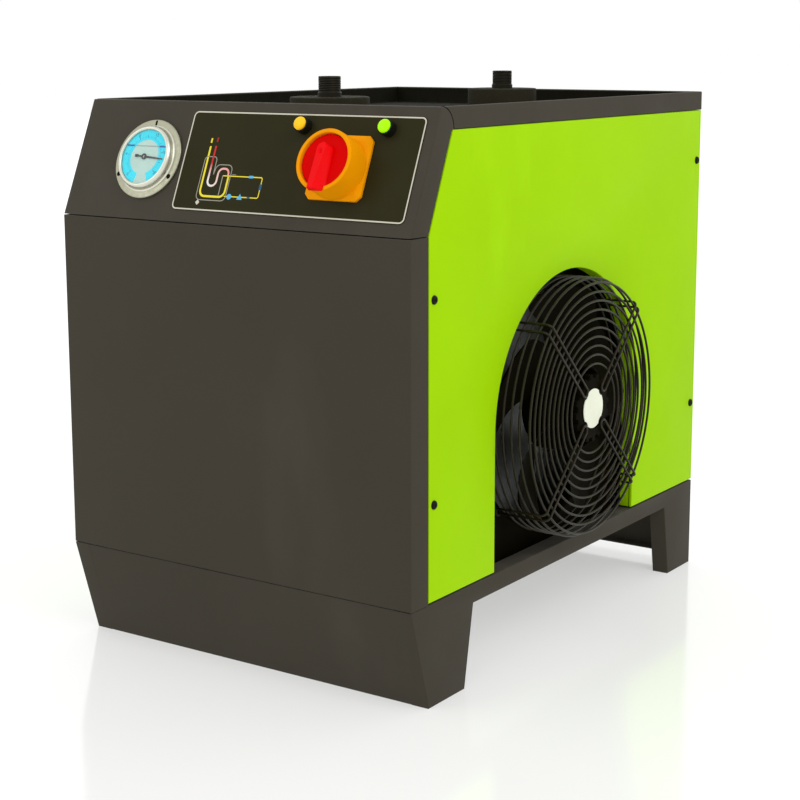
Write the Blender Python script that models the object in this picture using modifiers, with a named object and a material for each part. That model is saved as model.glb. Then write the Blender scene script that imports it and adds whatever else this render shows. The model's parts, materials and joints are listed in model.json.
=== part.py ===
"""Refrigerated compressed-air dryer: cabinet, cooling circuit, fan, gauge, switch and lamps.

Lengths are in metres. The cabinet is laid out with x = 0 in the middle of its width, y = 0 at the
front face and z = 0 on the floor; the whole model is then centred over the origin.
"""
import math

import bmesh
import bpy
from mathutils import Matrix, Vector

# ---------------------------------------------------------------- driving dimensions
WIDTH = 0.440
DEPTH = 0.620
HEIGHT = 0.580
HALF = WIDTH / 2
SHEET = 0.0015
BASE_SHEET = 0.002
GAP = 0.0003

BASE_TOP = 0.105
CUTOUT_TOP = 0.0855
TOE_SET_BACK = 0.031
LEG_FRONT_FLOOR = 0.096
LEG_FRONT_TOP = 0.112
LEG_REAR_FLOOR = 0.560
LEG_REAR_TOP = 0.546
LEG_FLANGE = 0.020
REAR_SKIRT_BOTTOM = 0.013

CREASE_HEIGHT = 0.461
SLOPE_DEPTH = 0.051
SLOPE_ANGLE = math.atan2(SLOPE_DEPTH, HEIGHT - CREASE_HEIGHT)
SLOPE_LENGTH = math.hypot(SLOPE_DEPTH, HEIGHT - CREASE_HEIGHT)
COVER_RETURN = 0.0293
GREEN_TOP_FRONT = 0.070
TOP_RECESS = 0.020
RIM = 0.0025
SEAM = 0.0015

ARCH_CENTRE_Y = 0.305
ARCH_CENTRE_Z = 0.249
ARCH_RADIUS = 0.153
ARCH_FLANGE = 0.015

FAN_CENTRE_Y = 0.305
FAN_CENTRE_Z = 0.254

GUARD_FACE = HALF + 0.0286
GUARD_WIRE = 0.0013
GUARD_INNER_RING = 0.048
GUARD_PITCH = 0.0096
GUARD_FACE_RINGS = 10
GUARD_SIDE_RINGS = 5
GUARD_SIDE_RADIUS = 0.1385
SPOKE_SPREAD = 0.0046
SHROUD_X = HALF - 0.030
FAN_HOLE_RADIUS = 0.132

# Place of each air port across and along the top cover.
AIR_PORTS = {"front": (0.013, 0.157), "rear": (0, 0.5255)}
PORT_TOP = HEIGHT + 0.024
COLLAR_RADIUS = 0.0415

GAUGE_U = -0.1203
GAUGE_V = 0.0648
SWITCH_U = 0.124
SWITCH_V = 0.063
AMBER_U = 0.070
GREEN_U = 0.169
LAMP_V = 0.105
OVERLAY_LEFT = -0.0745
OVERLAY_RIGHT = 0.209
OVERLAY_BOTTOM = 0.0135
OVERLAY_TOP = 0.1185

EXCHANGER_BOTTOM = 0.400
EXCHANGER_TOP = 0.545
PAN_TOP = CUTOUT_TOP + 2 * BASE_SHEET + GAP

# ---------------------------------------------------------------- scene and collections
for old in list(bpy.data.objects):
    bpy.data.objects.remove(old)

dryer = bpy.data.collections.new("refrigerated_air_dryer")
cutters = bpy.data.collections.new("cutters")
bpy.context.scene.collection.children.link(dryer)
bpy.context.scene.collection.children.link(cutters)

ROOT = bpy.data.objects.new("dryer_origin", None)
dryer.objects.link(ROOT)


def material(name, colour, roughness, metallic=0.0):
    """A Principled material with one colour."""
    made = bpy.data.materials.new(name)
    made.use_nodes = True
    shader = made.node_tree.nodes["Principled BSDF"]
    shader.inputs["Base Color"].default_value = (*colour, 1.0)
    shader.inputs["Roughness"].default_value = roughness
    shader.inputs["Metallic"].default_value = metallic
    return made


DARK_PAINT = material("dark_paint", (0.058, 0.053, 0.044), 0.55)
GREEN_PAINT = material("green_paint", (0.39, 0.72, 0.011), 0.45)
OVERLAY_FILM = material("overlay_film", (0.032, 0.028, 0.024), 0.4)
BLACK_WIRE = material("black_wire", (0.03, 0.03, 0.027), 0.4)
BLACK_PLASTIC = material("black_plastic", (0.015, 0.015, 0.014), 0.5)
WHITE_LABEL = material("white_label", (0.76, 0.79, 0.65), 0.5)
GALVANISED = material("galvanised_steel", (0.45, 0.46, 0.47), 0.45, 1.0)
ALUMINIUM = material("aluminium_fins", (0.55, 0.56, 0.57), 0.4, 1.0)
COMPRESSOR_PAINT = material("compressor_paint", (0.02, 0.02, 0.021), 0.35)
RUBBER = material("rubber", (0.018, 0.018, 0.018), 0.85)
INSULATION = material("insulation_foam", (0.02, 0.02, 0.02), 0.9)
COPPER = material("copper", (0.72, 0.33, 0.18), 0.3, 1.0)
BRASS = material("brass", (0.68, 0.50, 0.22), 0.35, 1.0)
PORT_STEEL = material("port_steel", (0.035, 0.033, 0.028), 0.45, 0.8)
STAINLESS = material("stainless_steel", (0.55, 0.54, 0.48), 0.3, 1.0)
DIAL_PRINT = material("dial_print", (0.10, 0.62, 0.85), 0.5)
NEEDLE_BLACK = material("needle_black", (0.01, 0.01, 0.01), 0.4)
CLEAR_GLASS = material("clear_glass", (0.85, 0.9, 0.9), 0.05)
SWITCH_YELLOW = material("switch_yellow", (0.95, 0.38, 0.01), 0.4)
SWITCH_RED = material("switch_red", (0.75, 0.0, 0.002), 0.35)
AMBER_LENS = material("amber_lens", (0.94, 0.62, 0.03), 0.2)
GREEN_LENS = material("green_lens", (0.46, 1.0, 0.0), 0.2)
TUBE_BLUE = material("tube_blue", (0.05, 0.18, 0.55), 0.4)
BOX_GREY = material("box_grey", (0.5, 0.5, 0.48), 0.5)


# ---------------------------------------------------------------- placing frames
def axes(x_axis, y_axis, z_axis, origin=(0, 0, 0)):
    """A frame from its three axes and its origin."""
    turned = Matrix((x_axis, y_axis, z_axis)).transposed().to_4x4()
    return Matrix.Translation(origin) @ turned


def side_frame(x=0.0, y=0.0, z=0.0):
    """Local x runs to the rear, local y up and local z to the right."""
    return axes((0, 1, 0), (0, 0, 1), (1, 0, 0), (x, y, z))


def front_frame(x=0.0, y=0.0, z=0.0):
    """Local x runs to the right, local y up and local z to the front."""
    return axes((1, 0, 0), (0, 0, 1), (0, -1, 0), (x, y, z))


def rear_frame(x=0.0, y=0.0, z=0.0):
    """Local x runs to the left, local y up and local z to the rear."""
    return axes((-1, 0, 0), (0, 0, 1), (0, 1, 0), (x, y, z))


def panel_frame(u, v, rise=0.0):
    """On the sloped panel: u to the right, v up the slope from the crease, local z outwards."""
    tilt = Matrix.Rotation(math.pi / 2 - SLOPE_ANGLE, 4, "X")
    return Matrix.Translation((0, 0, CREASE_HEIGHT)) @ tilt @ Matrix.Translation((u, v, rise))


def at(x, y, z):
    """An upright frame at a point."""
    return Matrix.Translation((x, y, z))


# ---------------------------------------------------------------- shape helpers
def add(name, data, finish, frame=Matrix(), collection=dryer):
    """Put a mesh or curve into the model as a named object."""
    obj = bpy.data.objects.new(name, data)
    obj.matrix_world = frame
    obj.parent = ROOT
    if not data.materials:
        data.materials.append(finish)
    collection.objects.link(obj)
    return obj


def circle(radius, centre=(0, 0), steps=24):
    """Points round a circle."""
    turns = [2 * math.pi * k / steps for k in range(steps)]
    return [(centre[0] + radius * math.cos(a), centre[1] + radius * math.sin(a)) for a in turns]


def arc(radius, centre, start, end, steps):
    """Points along an arc, angles in degrees, both ends included."""
    turns = [math.radians(start + (end - start) * k / steps) for k in range(steps + 1)]
    return [(centre[0] + radius * math.cos(a), centre[1] + radius * math.sin(a)) for a in turns]


def rectangle(left, bottom, right, top):
    """Corners of an upright rectangle."""
    return [(left, bottom), (right, bottom), (right, top), (left, top)]


def plate(name, outlines, thickness, finish, frame, collection=dryer):
    """A flat plate: the first outline is its edge and the others are holes.

    Local z = 0 is its back face and local z = thickness its front face.
    """
    curve = bpy.data.curves.new(name, "CURVE")
    curve.dimensions = "2D"
    curve.fill_mode = "BOTH"
    curve.extrude = thickness / 2
    for outline in outlines:
        spline = curve.splines.new("POLY")
        spline.points.add(len(outline) - 1)
        for point, (x, y) in zip(spline.points, outline):
            point.co = (x, y, 0, 1)
        spline.use_cyclic_u = True
    return add(name, curve, finish, frame @ Matrix.Translation((0, 0, thickness / 2)), collection)


def as_mesh(obj):
    """Turn a curve object into a welded mesh object, ready for Booleans."""
    depsgraph = bpy.context.evaluated_depsgraph_get()
    data = bpy.data.meshes.new_from_object(obj.evaluated_get(depsgraph))
    shape = bmesh.new()
    shape.from_mesh(data)
    bmesh.ops.remove_doubles(shape, verts=shape.verts, dist=0.00002)
    shape.to_mesh(data)
    shape.free()
    name = obj.name
    frame = obj.matrix_world.copy()
    collection = obj.users_collection[0]
    finish = obj.data.materials[0]
    bpy.data.objects.remove(obj)
    return add(name, data, finish, frame, collection)


def box(name, low, high, finish, frame=Matrix(), collection=dryer, bevel=0.0):
    """A box between two corners, with its edges rounded if a bevel is given."""
    low = Vector(low)
    high = Vector(high)
    shape = bmesh.new()
    bmesh.ops.create_cube(shape, size=1.0)
    bmesh.ops.scale(shape, vec=high - low, verts=shape.verts)
    bmesh.ops.translate(shape, vec=(low + high) / 2, verts=shape.verts)
    data = bpy.data.meshes.new(name)
    shape.to_mesh(data)
    shape.free()
    obj = add(name, data, finish, frame, collection)
    if bevel:
        rounding = obj.modifiers.new("rounded_edges", "BEVEL")
        rounding.width = bevel
        rounding.segments = 2
    return obj


def turned(name, profile, finish, frame=Matrix(), steps=24, collection=dryer, closed=False):
    """A turned piece: a profile of (radius, height) carried round local z.

    The profile runs down the outer side. An open one starts and ends on the axis; a closed one
    makes a ring.
    """
    data = bpy.data.meshes.new(name)
    count = len(profile)
    edges = [(k, k + 1) for k in range(count - 1)]
    if closed:
        edges.append((count - 1, 0))
    data.from_pydata([(radius, 0, height) for radius, height in profile], edges, [])
    obj = add(name, data, finish, frame, collection)
    screw = obj.modifiers.new("turned", "SCREW")
    screw.steps = steps
    screw.render_steps = steps
    screw.use_merge_vertices = True
    screw.merge_threshold = 0.00002
    screw.use_smooth_shade = True
    return obj


def rounded_route(corners, bend, steps=4):
    """The corners of a pipe's route with each inner one rounded to a bend radius."""
    route = [Vector(corners[0])]
    for before, corner, after in zip(corners, corners[1:], corners[2:]):
        corner = Vector(corner)
        inward = (Vector(before) - corner).normalized()
        outward = (Vector(after) - corner).normalized()
        half_angle = inward.angle(outward) / 2
        reach = bend / math.tan(half_angle)
        middle = corner + (inward + outward).normalized() * bend / math.sin(half_angle)
        first = corner + inward * reach - middle
        last = corner + outward * reach - middle
        for k in range(steps + 1):
            route.append(middle + first.slerp(last, k / steps).normalized() * bend)
    route.append(Vector(corners[-1]))
    return route


def tube(name, route, radius, finish, frame=Matrix(), collection=dryer, sides=2):
    """A round tube or wire along a list of points, with closed ends."""
    curve = bpy.data.curves.new(name, "CURVE")
    curve.dimensions = "3D"
    curve.bevel_depth = radius
    curve.bevel_resolution = sides
    curve.use_fill_caps = True
    spline = curve.splines.new("POLY")
    spline.points.add(len(route) - 1)
    for point, place in zip(spline.points, route):
        point.co = (*place, 1)
    return add(name, curve, finish, frame, collection)


def combine(obj, others, operation):
    """Join other objects to this one, or cut them from it."""
    for other in others:
        other.hide_render = True
        other.display_type = "WIRE"
        step = obj.modifiers.new(operation.lower(), "BOOLEAN")
        step.operation = operation
        step.solver = "EXACT"
        step.object = other
    return obj


def join(obj, *others):
    """One solid from several overlapping ones."""
    return combine(obj, others, "UNION")


def hollow(obj, *others):
    """This solid with the others cut out of it."""
    return combine(obj, others, "DIFFERENCE")


# ---------------------------------------------------------------- base
def base_side(name, side):
    """One base side: a sheet with two legs, a flange round the cutout and a foot under each leg."""
    skirt_edge = BASE_SHEET + 2 * GAP
    rear_edge = DEPTH - BASE_SHEET - GAP
    top = BASE_TOP - GAP
    outline = [
        (TOE_SET_BACK + skirt_edge, 0),
        (LEG_FRONT_FLOOR, 0),
        (LEG_FRONT_TOP, CUTOUT_TOP),
        (LEG_REAR_TOP, CUTOUT_TOP),
        (LEG_REAR_FLOOR, 0),
        (rear_edge, 0),
        (rear_edge, top),
        (skirt_edge + TOE_SET_BACK * GAP / BASE_TOP, top),
    ]
    ribbon = [
        (LEG_FRONT_FLOOR - BASE_SHEET, 0),
        (LEG_FRONT_FLOOR, 0),
        (LEG_FRONT_TOP, CUTOUT_TOP),
        (LEG_REAR_TOP, CUTOUT_TOP),
        (LEG_REAR_FLOOR, 0),
        (LEG_REAR_FLOOR + BASE_SHEET, 0),
        (LEG_REAR_TOP + BASE_SHEET, CUTOUT_TOP + BASE_SHEET),
        (LEG_FRONT_TOP - BASE_SHEET, CUTOUT_TOP + BASE_SHEET),
    ]
    front_foot = rectangle(TOE_SET_BACK + 2 * skirt_edge, 0, LEG_FRONT_FLOOR - 0.0005, BASE_SHEET)
    rear_foot = rectangle(LEG_REAR_FLOOR + 0.0005, 0, rear_edge, BASE_SHEET)
    sheet_x = HALF - BASE_SHEET if side > 0 else -HALF
    flange_x = HALF - LEG_FLANGE if side > 0 else -HALF + BASE_SHEET / 2
    flange_width = LEG_FLANGE - BASE_SHEET / 2
    body = as_mesh(plate(name, [outline], BASE_SHEET, DARK_PAINT, side_frame(sheet_x)))
    pieces = [("flange", ribbon), ("front_foot", front_foot), ("rear_foot", rear_foot)]
    extras = []
    for label, shape in pieces:
        extra = plate(f"{name}_{label}", [shape], flange_width, DARK_PAINT, side_frame(flange_x), cutters)
        extras.append(as_mesh(extra))
    return join(body, *extras)


def make_base():
    """Floor pan, base sides with legs, sloping front skirt and rear skirt."""
    base_side("base_side_right", 1)
    base_side("base_side_left", -1)
    skirt = [
        (TOE_SET_BACK, 0),
        (TOE_SET_BACK + BASE_SHEET, 0),
        (BASE_SHEET, BASE_TOP - GAP),
        (0, BASE_TOP - GAP),
    ]
    plate("base_front_skirt", [skirt], WIDTH, DARK_PAINT, side_frame(-HALF))
    rear = rectangle(-HALF, REAR_SKIRT_BOTTOM, HALF, BASE_TOP - GAP)
    plate("base_rear_skirt", [rear], BASE_SHEET, DARK_PAINT, rear_frame(0, DEPTH - BASE_SHEET))
    inside = HALF - BASE_SHEET - GAP
    pan_front = TOE_SET_BACK * (1 - CUTOUT_TOP / BASE_TOP) + 2 * BASE_SHEET
    pan_rear = DEPTH - BASE_SHEET - GAP
    low = (-inside, pan_front, PAN_TOP - BASE_SHEET)
    high = (inside, pan_rear, PAN_TOP)
    box("base_pan", low, high, GALVANISED)


# ---------------------------------------------------------------- covers
SCREW_HOLE = 0.0026
SLOT_HEIGHT = 0.0038
SCREW_PLACES = [(0.039, 0.401), (0.039, 0.203), (0.610, 0.499), (0.610, 0.204)]


def green_outline():
    """The side panel's edge, seen along x, without any opening."""
    bottom = BASE_TOP + GAP
    front = COVER_RETURN + 2 * GAP
    top = HEIGHT - TOP_RECESS - SHEET - 2 * GAP
    slope_start = CREASE_HEIGHT + GAP
    return [(DEPTH, bottom), (DEPTH, top), (GREEN_TOP_FRONT + GAP, top), (front, slope_start), (front, bottom)]


def screw_holes():
    """The four fastening holes of a side panel."""
    return [circle(SCREW_HOLE, place, 8) for place in SCREW_PLACES]


def make_right_panel():
    """Green panel with the arched fan opening and the flange turned in round it."""
    bottom = BASE_TOP + GAP
    centre = (ARCH_CENTRE_Y, ARCH_CENTRE_Z)
    arch = arc(ARCH_RADIUS, centre, 180, 0, 20)
    front = (ARCH_CENTRE_Y - ARCH_RADIUS, bottom)
    rear = (ARCH_CENTRE_Y + ARCH_RADIUS, bottom)
    edge = green_outline() + [front] + arch + [rear]
    panel = plate("side_panel_right", [edge] + screw_holes(), SHEET, GREEN_PAINT, side_frame(HALF - SHEET))
    wide = arc(ARCH_RADIUS + SHEET, centre, 0, 180, 20)
    ribbon = [front] + arch + [rear, (rear[0] + SHEET, bottom)] + wide + [(front[0] - SHEET, bottom)]
    width = ARCH_FLANGE - SHEET / 2
    flange_frame = side_frame(HALF - ARCH_FLANGE)
    flange = plate("arch_flange", [ribbon], width, GREEN_PAINT, flange_frame, cutters)
    join(as_mesh(panel), as_mesh(flange))


def make_left_panel():
    """Green panel with two columns of air slots."""
    slots = []
    for first in (0.130, 0.330):
        for row in range(9):
            low = 0.180 + 0.028 * row
            slots.append(rectangle(first, low, first + 0.150, low + SLOT_HEIGHT))
    outlines = [green_outline()] + screw_holes() + slots
    plate("side_panel_left", outlines, SHEET, GREEN_PAINT, side_frame(-HALF))


GLAND_X = -0.150
GLAND_Z = 0.160
DRAIN_X = 0.020
DRAIN_Z = 0.125


def make_rear_panel():
    """Dark rear panel with a row of air slots, the cable gland's hole and the drain's hole."""
    half = HALF - SHEET - GAP
    top = HEIGHT - TOP_RECESS - SHEET - 2 * GAP
    slots = []
    for row in range(7):
        low = 0.330 + 0.026 * row
        slots.append(rectangle(-0.130, low, 0.130, low + SLOT_HEIGHT))
    gland_hole = circle(0.0088, (-GLAND_X, GLAND_Z), 12)
    drain_hole = circle(0.0068, (-DRAIN_X, DRAIN_Z), 12)
    edge = rectangle(-half, BASE_TOP + GAP, half, top)
    outlines = [edge, gland_hole, drain_hole] + slots
    plate("rear_panel", outlines, SHEET, DARK_PAINT, rear_frame(0, DEPTH - SHEET))


def make_front_panel():
    """Front cover: a sheet folded back along both sides."""
    inner = HALF - SHEET
    section = [
        (-HALF, COVER_RETURN),
        (-HALF, 0),
        (HALF, 0),
        (HALF, COVER_RETURN),
        (inner, COVER_RETURN),
        (inner, SHEET),
        (-inner, SHEET),
        (-inner, COVER_RETURN),
    ]
    bottom = BASE_TOP + GAP
    plate("front_panel", [section], CREASE_HEIGHT - SEAM - bottom, DARK_PAINT, at(0, 0, bottom))


GAUGE_HOLE = 0.0300
SWITCH_HOLE = 0.0235
LAMP_HOLE = 0.0065


def make_control_panel():
    """Sloped panel with its side returns and the holes for gauge, switch and lamps."""
    holes = [
        circle(GAUGE_HOLE, (GAUGE_U, GAUGE_V)),
        circle(SWITCH_HOLE, (SWITCH_U, SWITCH_V)),
        circle(LAMP_HOLE, (AMBER_U, LAMP_V), 12),
        circle(LAMP_HOLE, (GREEN_U, LAMP_V), 12),
    ]
    lower = 2 * GAP
    edge = rectangle(-HALF, lower, HALF, SLOPE_LENGTH - lower)
    sheet_frame = panel_frame(0, 0, -SHEET)
    panel = as_mesh(plate("control_panel", [edge] + holes, SHEET, DARK_PAINT, sheet_frame))
    wall_front = SLOPE_DEPTH + SHEET
    band = HEIGHT - TOP_RECESS - SHEET - 2 * GAP
    edge_drop = 0.0008
    low_y = edge_drop * SLOPE_DEPTH / (HEIGHT - CREASE_HEIGHT)
    cheek = [
        (low_y, CREASE_HEIGHT + edge_drop),
        (COVER_RETURN, CREASE_HEIGHT + edge_drop),
        (GREEN_TOP_FRONT - 2 * GAP, band),
        (wall_front, band),
        (wall_front, HEIGHT - edge_drop),
        (SLOPE_DEPTH - low_y, HEIGHT - edge_drop),
    ]
    cheeks = []
    for label, x in (("right", HALF - SHEET), ("left", -HALF)):
        cheek_plate = plate(f"cheek_{label}", [cheek], SHEET, DARK_PAINT, side_frame(x), cutters)
        cheeks.append(as_mesh(cheek_plate))
    join(panel, *cheeks)


FILM = 0.0005


def make_overlay():
    """Overlay film with the flow diagram, cut out round the switch and the lamps."""
    radius = 0.006
    corners = [
        (OVERLAY_RIGHT - radius, OVERLAY_TOP - radius, 0),
        (OVERLAY_LEFT + radius, OVERLAY_TOP - radius, 90),
        (OVERLAY_LEFT + radius, OVERLAY_BOTTOM + radius, 180),
        (OVERLAY_RIGHT - radius, OVERLAY_BOTTOM + radius, 270),
    ]
    edge = []
    for x, y, start in corners:
        edge += arc(radius, (x, y), start, start + 90, 3)
    holes = [
        circle(SWITCH_HOLE, (SWITCH_U, SWITCH_V)),
        circle(LAMP_HOLE, (AMBER_U, LAMP_V), 12),
        circle(LAMP_HOLE, (GREEN_U, LAMP_V), 12),
    ]
    plate("control_overlay", [edge] + holes, FILM, OVERLAY_FILM, panel_frame(0, 0, GAP))


PORT_HOLE = 0.016


def make_top_cover():
    """Top cover: a tray sunk below its rim, with a hole for each air port."""
    front = SLOPE_DEPTH + SHEET + 2 * GAP
    floor_low = HEIGHT - TOP_RECESS - SHEET
    outside = rectangle(-HALF, front, HALF, DEPTH)
    inside = rectangle(-HALF + RIM, front + RIM, HALF - RIM, DEPTH - RIM)
    margin = RIM / 2
    floor_edge = rectangle(-HALF + margin, front + margin, HALF - margin, DEPTH - margin)
    holes = [circle(PORT_HOLE, place, 16) for place in AIR_PORTS.values()]
    rim_height = HEIGHT - floor_low
    rim = as_mesh(plate("top_cover", [outside, inside], rim_height, DARK_PAINT, at(0, 0, floor_low)))
    floor_plate = plate("top_floor", [floor_edge] + holes, SHEET, DARK_PAINT, at(0, 0, floor_low), cutters)
    join(rim, as_mesh(floor_plate))


def make_screws():
    """Pan-head screws of the right side panel."""
    head = [(0, 0.0024), (0.003, 0.0022), (0.0045, 0.0012), (0.0045, GAP)]
    shank = [(0.002, GAP), (0.002, -0.006), (0, -0.006)]
    for number, (y, z) in enumerate(SCREW_PLACES, 1):
        frame = side_frame(HALF, y, z)
        turned(f"side_screw_right_{number}", head + shank, BLACK_PLASTIC, frame, steps=12)


# ---------------------------------------------------------------- fan side
def ring_wire(name, radius, x, collection):
    """One round wire of the guard, centred on the fan axis."""
    wire = GUARD_WIRE
    profile = [(radius, wire), (radius + wire, 0), (radius, -wire), (radius - wire, 0)]
    frame = side_frame(x, FAN_CENTRE_Y, FAN_CENTRE_Z)
    return turned(name, profile, BLACK_WIRE, frame, steps=32, collection=collection, closed=True)


def make_guard():
    """Wire basket: rings on the face and round the side, held by four double spokes."""
    rings = []
    for k in range(GUARD_FACE_RINGS):
        rings.append((GUARD_INNER_RING + GUARD_PITCH * k, GUARD_FACE))
    for k in range(GUARD_SIDE_RINGS):
        rings.append((GUARD_SIDE_RADIUS, GUARD_FACE - GUARD_PITCH * (k + 1)))
    wires = []
    for number, (radius, x) in enumerate(rings):
        wires.append(ring_wire(f"guard_ring_{number}", radius, x, cutters))
    spoke_x = GUARD_FACE + 1.2 * GUARD_WIRE
    foot_x = SHROUD_X + GAP
    rim = GUARD_SIDE_RADIUS + 1.2 * GUARD_WIRE
    for number in range(4):
        turn = Matrix.Rotation(math.radians(45 + 90 * number), 4, "Z")
        frame = side_frame(0, FAN_CENTRE_Y, FAN_CENTRE_Z) @ turn
        corners = [
            (0.030, 0, spoke_x),
            (rim, 0, spoke_x),
            (rim, 0, foot_x),
        ]
        route = rounded_route(corners, 0.005, 2)
        side = 2 * SPOKE_SPREAD
        spoke = tube(f"guard_spoke_{number}", route, GUARD_WIRE, BLACK_WIRE, frame, cutters, sides=0)
        wires.append(as_mesh(spoke))
        wires[-1].data.transform(Matrix.Diagonal((1, side / (2 * GUARD_WIRE), 1, 1)))
    guard = wires.pop(0)
    guard.name = "fan_guard"
    cutters.objects.unlink(guard)
    dryer.objects.link(guard)
    guard.parent = ROOT
    join(guard, *wires)


MOTOR_FACE = GUARD_FACE - 0.0005
CUP_RADIUS = 0.046
LABEL_RADIUS = 0.0225


def fan_frame(x):
    """Local z runs along the fan axis, outwards, from a place along x."""
    return side_frame(x, FAN_CENTRE_Y, FAN_CENTRE_Z)


def make_fan():
    """Motor held by the guard, rotor cup and impeller turning round it."""
    label_thickness = 0.0008
    label_face = MOTOR_FACE + GAP + label_thickness
    label = [(0, label_thickness), (LABEL_RADIUS, label_thickness), (LABEL_RADIUS, 0), (0, 0)]
    turned("fan_motor_label", label, WHITE_LABEL, fan_frame(label_face - label_thickness))
    stator = [
        (0, 0),
        (0.036, 0),
        (0.037, -0.001),
        (0.037, -0.009),
        (0.030, -0.010),
        (0.030, -0.055),
        (0, -0.055),
    ]
    turned("fan_motor", stator, BLACK_PLASTIC, fan_frame(MOTOR_FACE))
    cup = [
        (0, -0.047),
        (CUP_RADIUS - 0.003, -0.047),
        (CUP_RADIUS - 0.003, 0),
        (CUP_RADIUS, 0),
        (CUP_RADIUS, -0.048),
        (CUP_RADIUS - 0.004, -0.052),
        (0, -0.052),
    ]
    cup_face = MOTOR_FACE - 0.011
    turned("fan_rotor", cup, BLACK_PLASTIC, fan_frame(cup_face))
    hub = [
        (CUP_RADIUS + GAP, -0.010),
        (CUP_RADIUS + 0.003, -0.010),
        (CUP_RADIUS + 0.003, -0.046),
        (CUP_RADIUS + GAP, -0.046),
    ]
    impeller = turned("fan_impeller", hub, BLACK_PLASTIC, fan_frame(cup_face), closed=True)
    blades = []
    for number in range(5):
        turn = Matrix.Rotation(2 * math.pi * number / 5, 4, "Z")
        blades.append(fan_blade(f"fan_blade_{number}", fan_frame(cup_face) @ turn))
    join(impeller, *blades)


BLADE_TIP = 0.127


def fan_blade(name, frame):
    """One swept blade: a twisted surface from hub to tip, given a thickness.

    Across the chord the angle round the axis runs one way while the height falls; towards the tip
    the chord widens, sweeps forwards and lies flatter.
    """
    rows = 4
    columns = 4
    points = []
    for i in range(rows + 1):
        outward = i / rows
        radius = CUP_RADIUS + 0.002 + (BLADE_TIP - CUP_RADIUS - 0.002) * outward
        span = math.radians(46 + 8 * outward)
        sweep = math.radians(20) * outward ** 1.5
        rise = 0.030 - 0.008 * outward
        for j in range(columns + 1):
            across = j / columns - 0.5
            turn = sweep + span * across
            height = -0.028 - rise * across - 0.004 * (1 - 4 * across * across)
            points.append((radius * math.cos(turn), radius * math.sin(turn), height))
    width = columns + 1
    faces = []
    for i in range(rows):
        for j in range(columns):
            start = i * width + j
            faces.append((start, start + width, start + width + 1, start + 1))
    data = bpy.data.meshes.new(name)
    data.from_pydata(points, [], faces)
    blade = add(name, data, BLACK_PLASTIC, frame, cutters)
    shell = blade.modifiers.new("blade_thickness", "SOLIDIFY")
    shell.thickness = 0.002
    shell.offset = 0.0
    return blade


CONDENSER = ((0.110, 0.150, PAN_TOP + GAP), (0.154, 0.460, 0.390))


def make_shroud_and_condenser():
    """Shroud plate with its round collar, and the finned condenser behind it."""
    low_z = PAN_TOP + GAP
    edge = rectangle(0.146, low_z, 0.464, 0.412)
    hole = circle(FAN_HOLE_RADIUS, (FAN_CENTRE_Y, FAN_CENTRE_Z), 32)
    shroud = plate("fan_shroud", [edge, hole], SHEET, DARK_PAINT, side_frame(SHROUD_X - SHEET))
    depth = 0.014
    collar = [
        (FAN_HOLE_RADIUS, 0),
        (FAN_HOLE_RADIUS + SHEET, 0),
        (FAN_HOLE_RADIUS + SHEET, -depth),
        (FAN_HOLE_RADIUS, -depth),
    ]
    frame = fan_frame(SHROUD_X)
    ring = turned("shroud_collar", collar, DARK_PAINT, frame, 32, cutters, closed=True)
    join(as_mesh(shroud), ring)
    box("condenser_coil", CONDENSER[0], CONDENSER[1], ALUMINIUM)


# ---------------------------------------------------------------- cooling circuit
COMPRESSOR_X = -0.115
COMPRESSOR_Y = 0.450
COMPRESSOR_RADIUS = 0.062
COMPRESSOR_FOOT = PAN_TOP + 0.012


def make_compressor():
    """Hermetic compressor on three rubber feet, with its terminal cover on top."""
    foot_top = COMPRESSOR_FOOT + 0.003
    top = 0.300
    radius = COMPRESSOR_RADIUS
    shell = [
        (0, top),
        (0.034, top),
        (0.052, top - 0.008),
        (radius, top - 0.030),
        (radius, foot_top + 0.020),
        (0.050, foot_top),
        (0.040, COMPRESSOR_FOOT),
        (0, COMPRESSOR_FOOT),
    ]
    frame = at(COMPRESSOR_X, COMPRESSOR_Y, 0)
    body = turned("compressor", shell, COMPRESSOR_PAINT, frame, steps=20)
    reach = 0.078
    arms = []
    for number in range(3):
        angle = math.radians(90 + 120 * number)
        turn = frame @ Matrix.Rotation(angle, 4, "Z")
        edge = [(0.020, -0.028), (0.020, 0.028)] + arc(0.014, (reach, 0), 90, -90, 6)
        arm_frame = turn @ at(0, 0, COMPRESSOR_FOOT)
        arm = plate(f"compressor_arm_{number}", [edge], 0.003, COMPRESSOR_PAINT, arm_frame, cutters)
        arms.append(as_mesh(arm))
        grommet = [(0, 0), (0.011, 0), (0.0125, -0.004), (0.0125, -0.010), (0, -0.010)]
        place = turn @ at(reach, 0, COMPRESSOR_FOOT - GAP)
        turned(f"compressor_foot_{number + 1}", grommet, RUBBER, place, steps=12)
    join(body, *arms)
    cover_low = (COMPRESSOR_X - 0.028, COMPRESSOR_Y - 0.020, top + GAP)
    cover_high = (COMPRESSOR_X + 0.014, COMPRESSOR_Y + 0.020, top + 0.026)
    box("compressor_terminal_cover", cover_low, cover_high, BLACK_PLASTIC, bevel=0.003)


def make_heat_exchanger():
    """Insulated heat exchanger, the bracket under it and the moisture separator below."""
    low = (-0.075, 0.100, EXCHANGER_BOTTOM)
    high = (0.075, 0.590, EXCHANGER_TOP)
    box("heat_exchanger", low, high, INSULATION, bevel=0.006)
    bracket_top = EXCHANGER_BOTTOM - GAP
    ledge = rectangle(-HALF + SHEET + GAP, 0.300, SHROUD_X - SHEET - GAP, 0.330)
    plate("exchanger_bracket", [ledge], BASE_SHEET, GALVANISED, at(0, 0, bracket_top - BASE_SHEET))


SEPARATOR_X = 0.020
SEPARATOR_Y = 0.150
VALVE_TOP = 0.240
VALVE_BOTTOM = 0.196
LEVER_Z = (VALVE_TOP + VALVE_BOTTOM) / 2


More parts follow.
